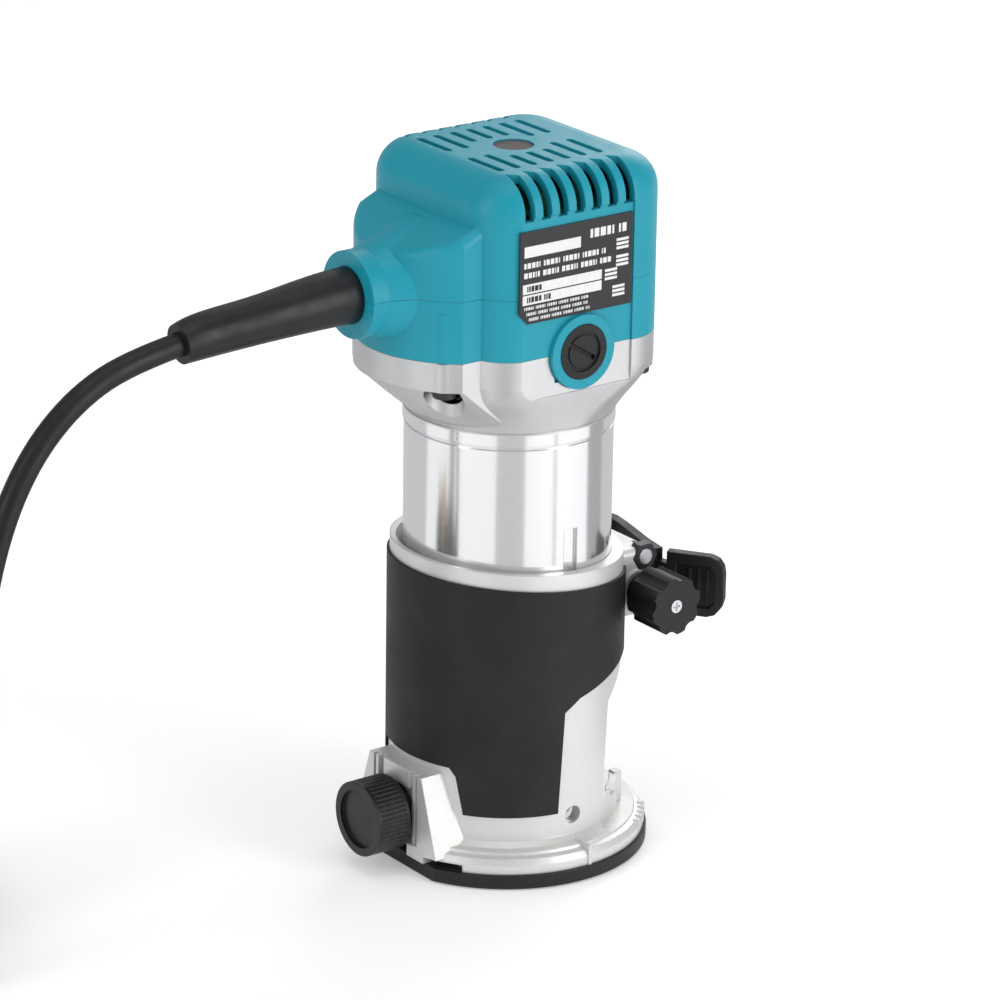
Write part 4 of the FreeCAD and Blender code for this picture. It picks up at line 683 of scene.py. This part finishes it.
# ---------------------------------------------------------------------------
# Studio
# ---------------------------------------------------------------------------
FLOOR_GLOW = 0.28
FLOOR_HALF = 6
FLOOR_Z = -0.0003         # a little under the tool, so that the two never share a plane
LIGHT_AIM = Vector((0, 0, 0.12))
STUDIO_CENTRE = Vector((0, 0, 0.25))
# Each light: how far towards the camera, to its right and up from the centre, its size, and its watts.
LIGHTS = [("key", 0.8, 1.2, 0.20, (0.55, 1.2), 11), ("fill", 0.9, -1.1, 0.35, (0.45, 1.1), 5),
          ("top", 0.2, 0.0, 1.3, (1.2, 1.2), 5), ("rear", -1.2, 0.4, 0.5, (0.8, 0.8), 6)]
BAND_INNER, BAND_OUTER = 0.10, 0.75
BAND_STEPS = 8
BANDS = [(-180, -96, 0.62), (-64, -58, 0.42), (-12, 18, 0.60), (49, 53, 0.70), (94, 120, 0.38),
         (120, 180, 0.60)]     # bearings from the camera's, anticlockwise from above, and brightness


def add_floor():
    """A plain pale floor that glows faintly, like a lit studio sweep."""
    mesh = bpy.data.meshes.new("floor")
    mesh.from_pydata([(x * FLOOR_HALF, y * FLOOR_HALF, 0) for x, y in ((-1, -1), (1, -1), (1, 1), (-1, 1))],
                     [], [(0, 1, 2, 3)])
    floor = bpy.data.objects.new("floor", mesh)
    floor.location.z = FLOOR_Z
    s = Surface("floor", (0.90, 0.90, 0.90), 0.7, specular=0.2)
    s.tint(s.ramp(s.noise(0.5, 2.0), 0.3, 0.7, 0.0, 0.3), (0.87, 0.87, 0.875))
    s.shader.inputs["Emission Color"].default_value = (1.0, 1.0, 1.0, 1.0)
    s.shader.inputs["Emission Strength"].default_value = FLOOR_GLOW
    mesh.materials.append(s.material)
    SCENE.collection.objects.link(floor)


def add_light(name, place, size, power):
    """A soft rectangular light, aimed at the tool."""
    data = bpy.data.lights.new(name, "AREA")
    data.shape = "RECTANGLE"
    data.size, data.size_y = size
    data.energy = power
    light = bpy.data.objects.new(name, data)
    light.location = place
    light.rotation_euler = (LIGHT_AIM - place).to_track_quat("-Z", "Y").to_euler()
    SCENE.collection.objects.link(light)


def add_band(index, facing, start, end, grey):
    """A grey strip on the floor that only reflections see: a sector between two bearings."""
    points = []
    for reach in (BAND_INNER, BAND_OUTER):
        for step in range(BAND_STEPS + 1):
            turn = facing + math.radians(start + (end - start) * step / BAND_STEPS)
            points.append((reach * math.cos(turn), reach * math.sin(turn), 0.0))
    faces = [(i, i + 1, i + BAND_STEPS + 2, i + BAND_STEPS + 1) for i in range(BAND_STEPS)]
    mesh = bpy.data.meshes.new(f"reflector_{index}")
    mesh.from_pydata(points, [], faces)
    card = bpy.data.objects.new(f"reflector_{index}", mesh)
    material = bpy.data.materials.new(f"reflector_{index}")
    material.use_nodes = True
    shader = material.node_tree.nodes["Principled BSDF"]
    shader.inputs["Base Color"].default_value = (0, 0, 0, 1)
    shader.inputs["Specular IOR Level"].default_value = 0.0
    shader.inputs["Emission Color"].default_value = (grey, grey, grey * 1.02, 1)
    shader.inputs["Emission Strength"].default_value = 1.0
    mesh.materials.append(material)
    card.visible_camera = False
    card.visible_diffuse = False
    card.visible_shadow = False
    SCENE.collection.objects.link(card)


def add_studio(back, level):
    """Soft light, stronger from the right, with grey strips for the polished tube."""
    world = bpy.data.worlds.new("studio")
    world.use_nodes = True
    background = world.node_tree.nodes["Background"]
    background.inputs["Color"].default_value = (0.94, 0.95, 0.97, 1.0)
    background.inputs["Strength"].default_value = 0.45
    SCENE.world = world
    ahead = Vector((back.x, back.y, 0)).normalized()
    for name, towards, right, up, size, power in LIGHTS:
        place = STUDIO_CENTRE + ahead * towards + level * right + Vector((0, 0, up))
        add_light(name, place, size, power)
    facing = math.atan2(back.y, back.x)
    for index, (start, end, grey) in enumerate(BANDS):
        add_band(index, facing, start, end, grey)
    SCENE.view_settings.view_transform = "Standard"


# ---------------------------------------------------------------------------
# Build
# ---------------------------------------------------------------------------
surfaces = make_surfaces()
dress_nodes(surfaces)
lead, lead_path = add_lead(surfaces["cord_rubber"])
ties = [add_tie(i, angle, surfaces["cord_rubber"]) for i, angle in enumerate(TIE_ANGLES)]
plug_trim = [add_plug_rings(surfaces["plug_rubber"]), add_fuse_cover(surfaces["plug_rubber"])]
add_label_print(ink_surface(), surfaces["label_film"])
add_floor()
back_direction, level_direction = add_camera()
add_studio(back_direction, level_direction)
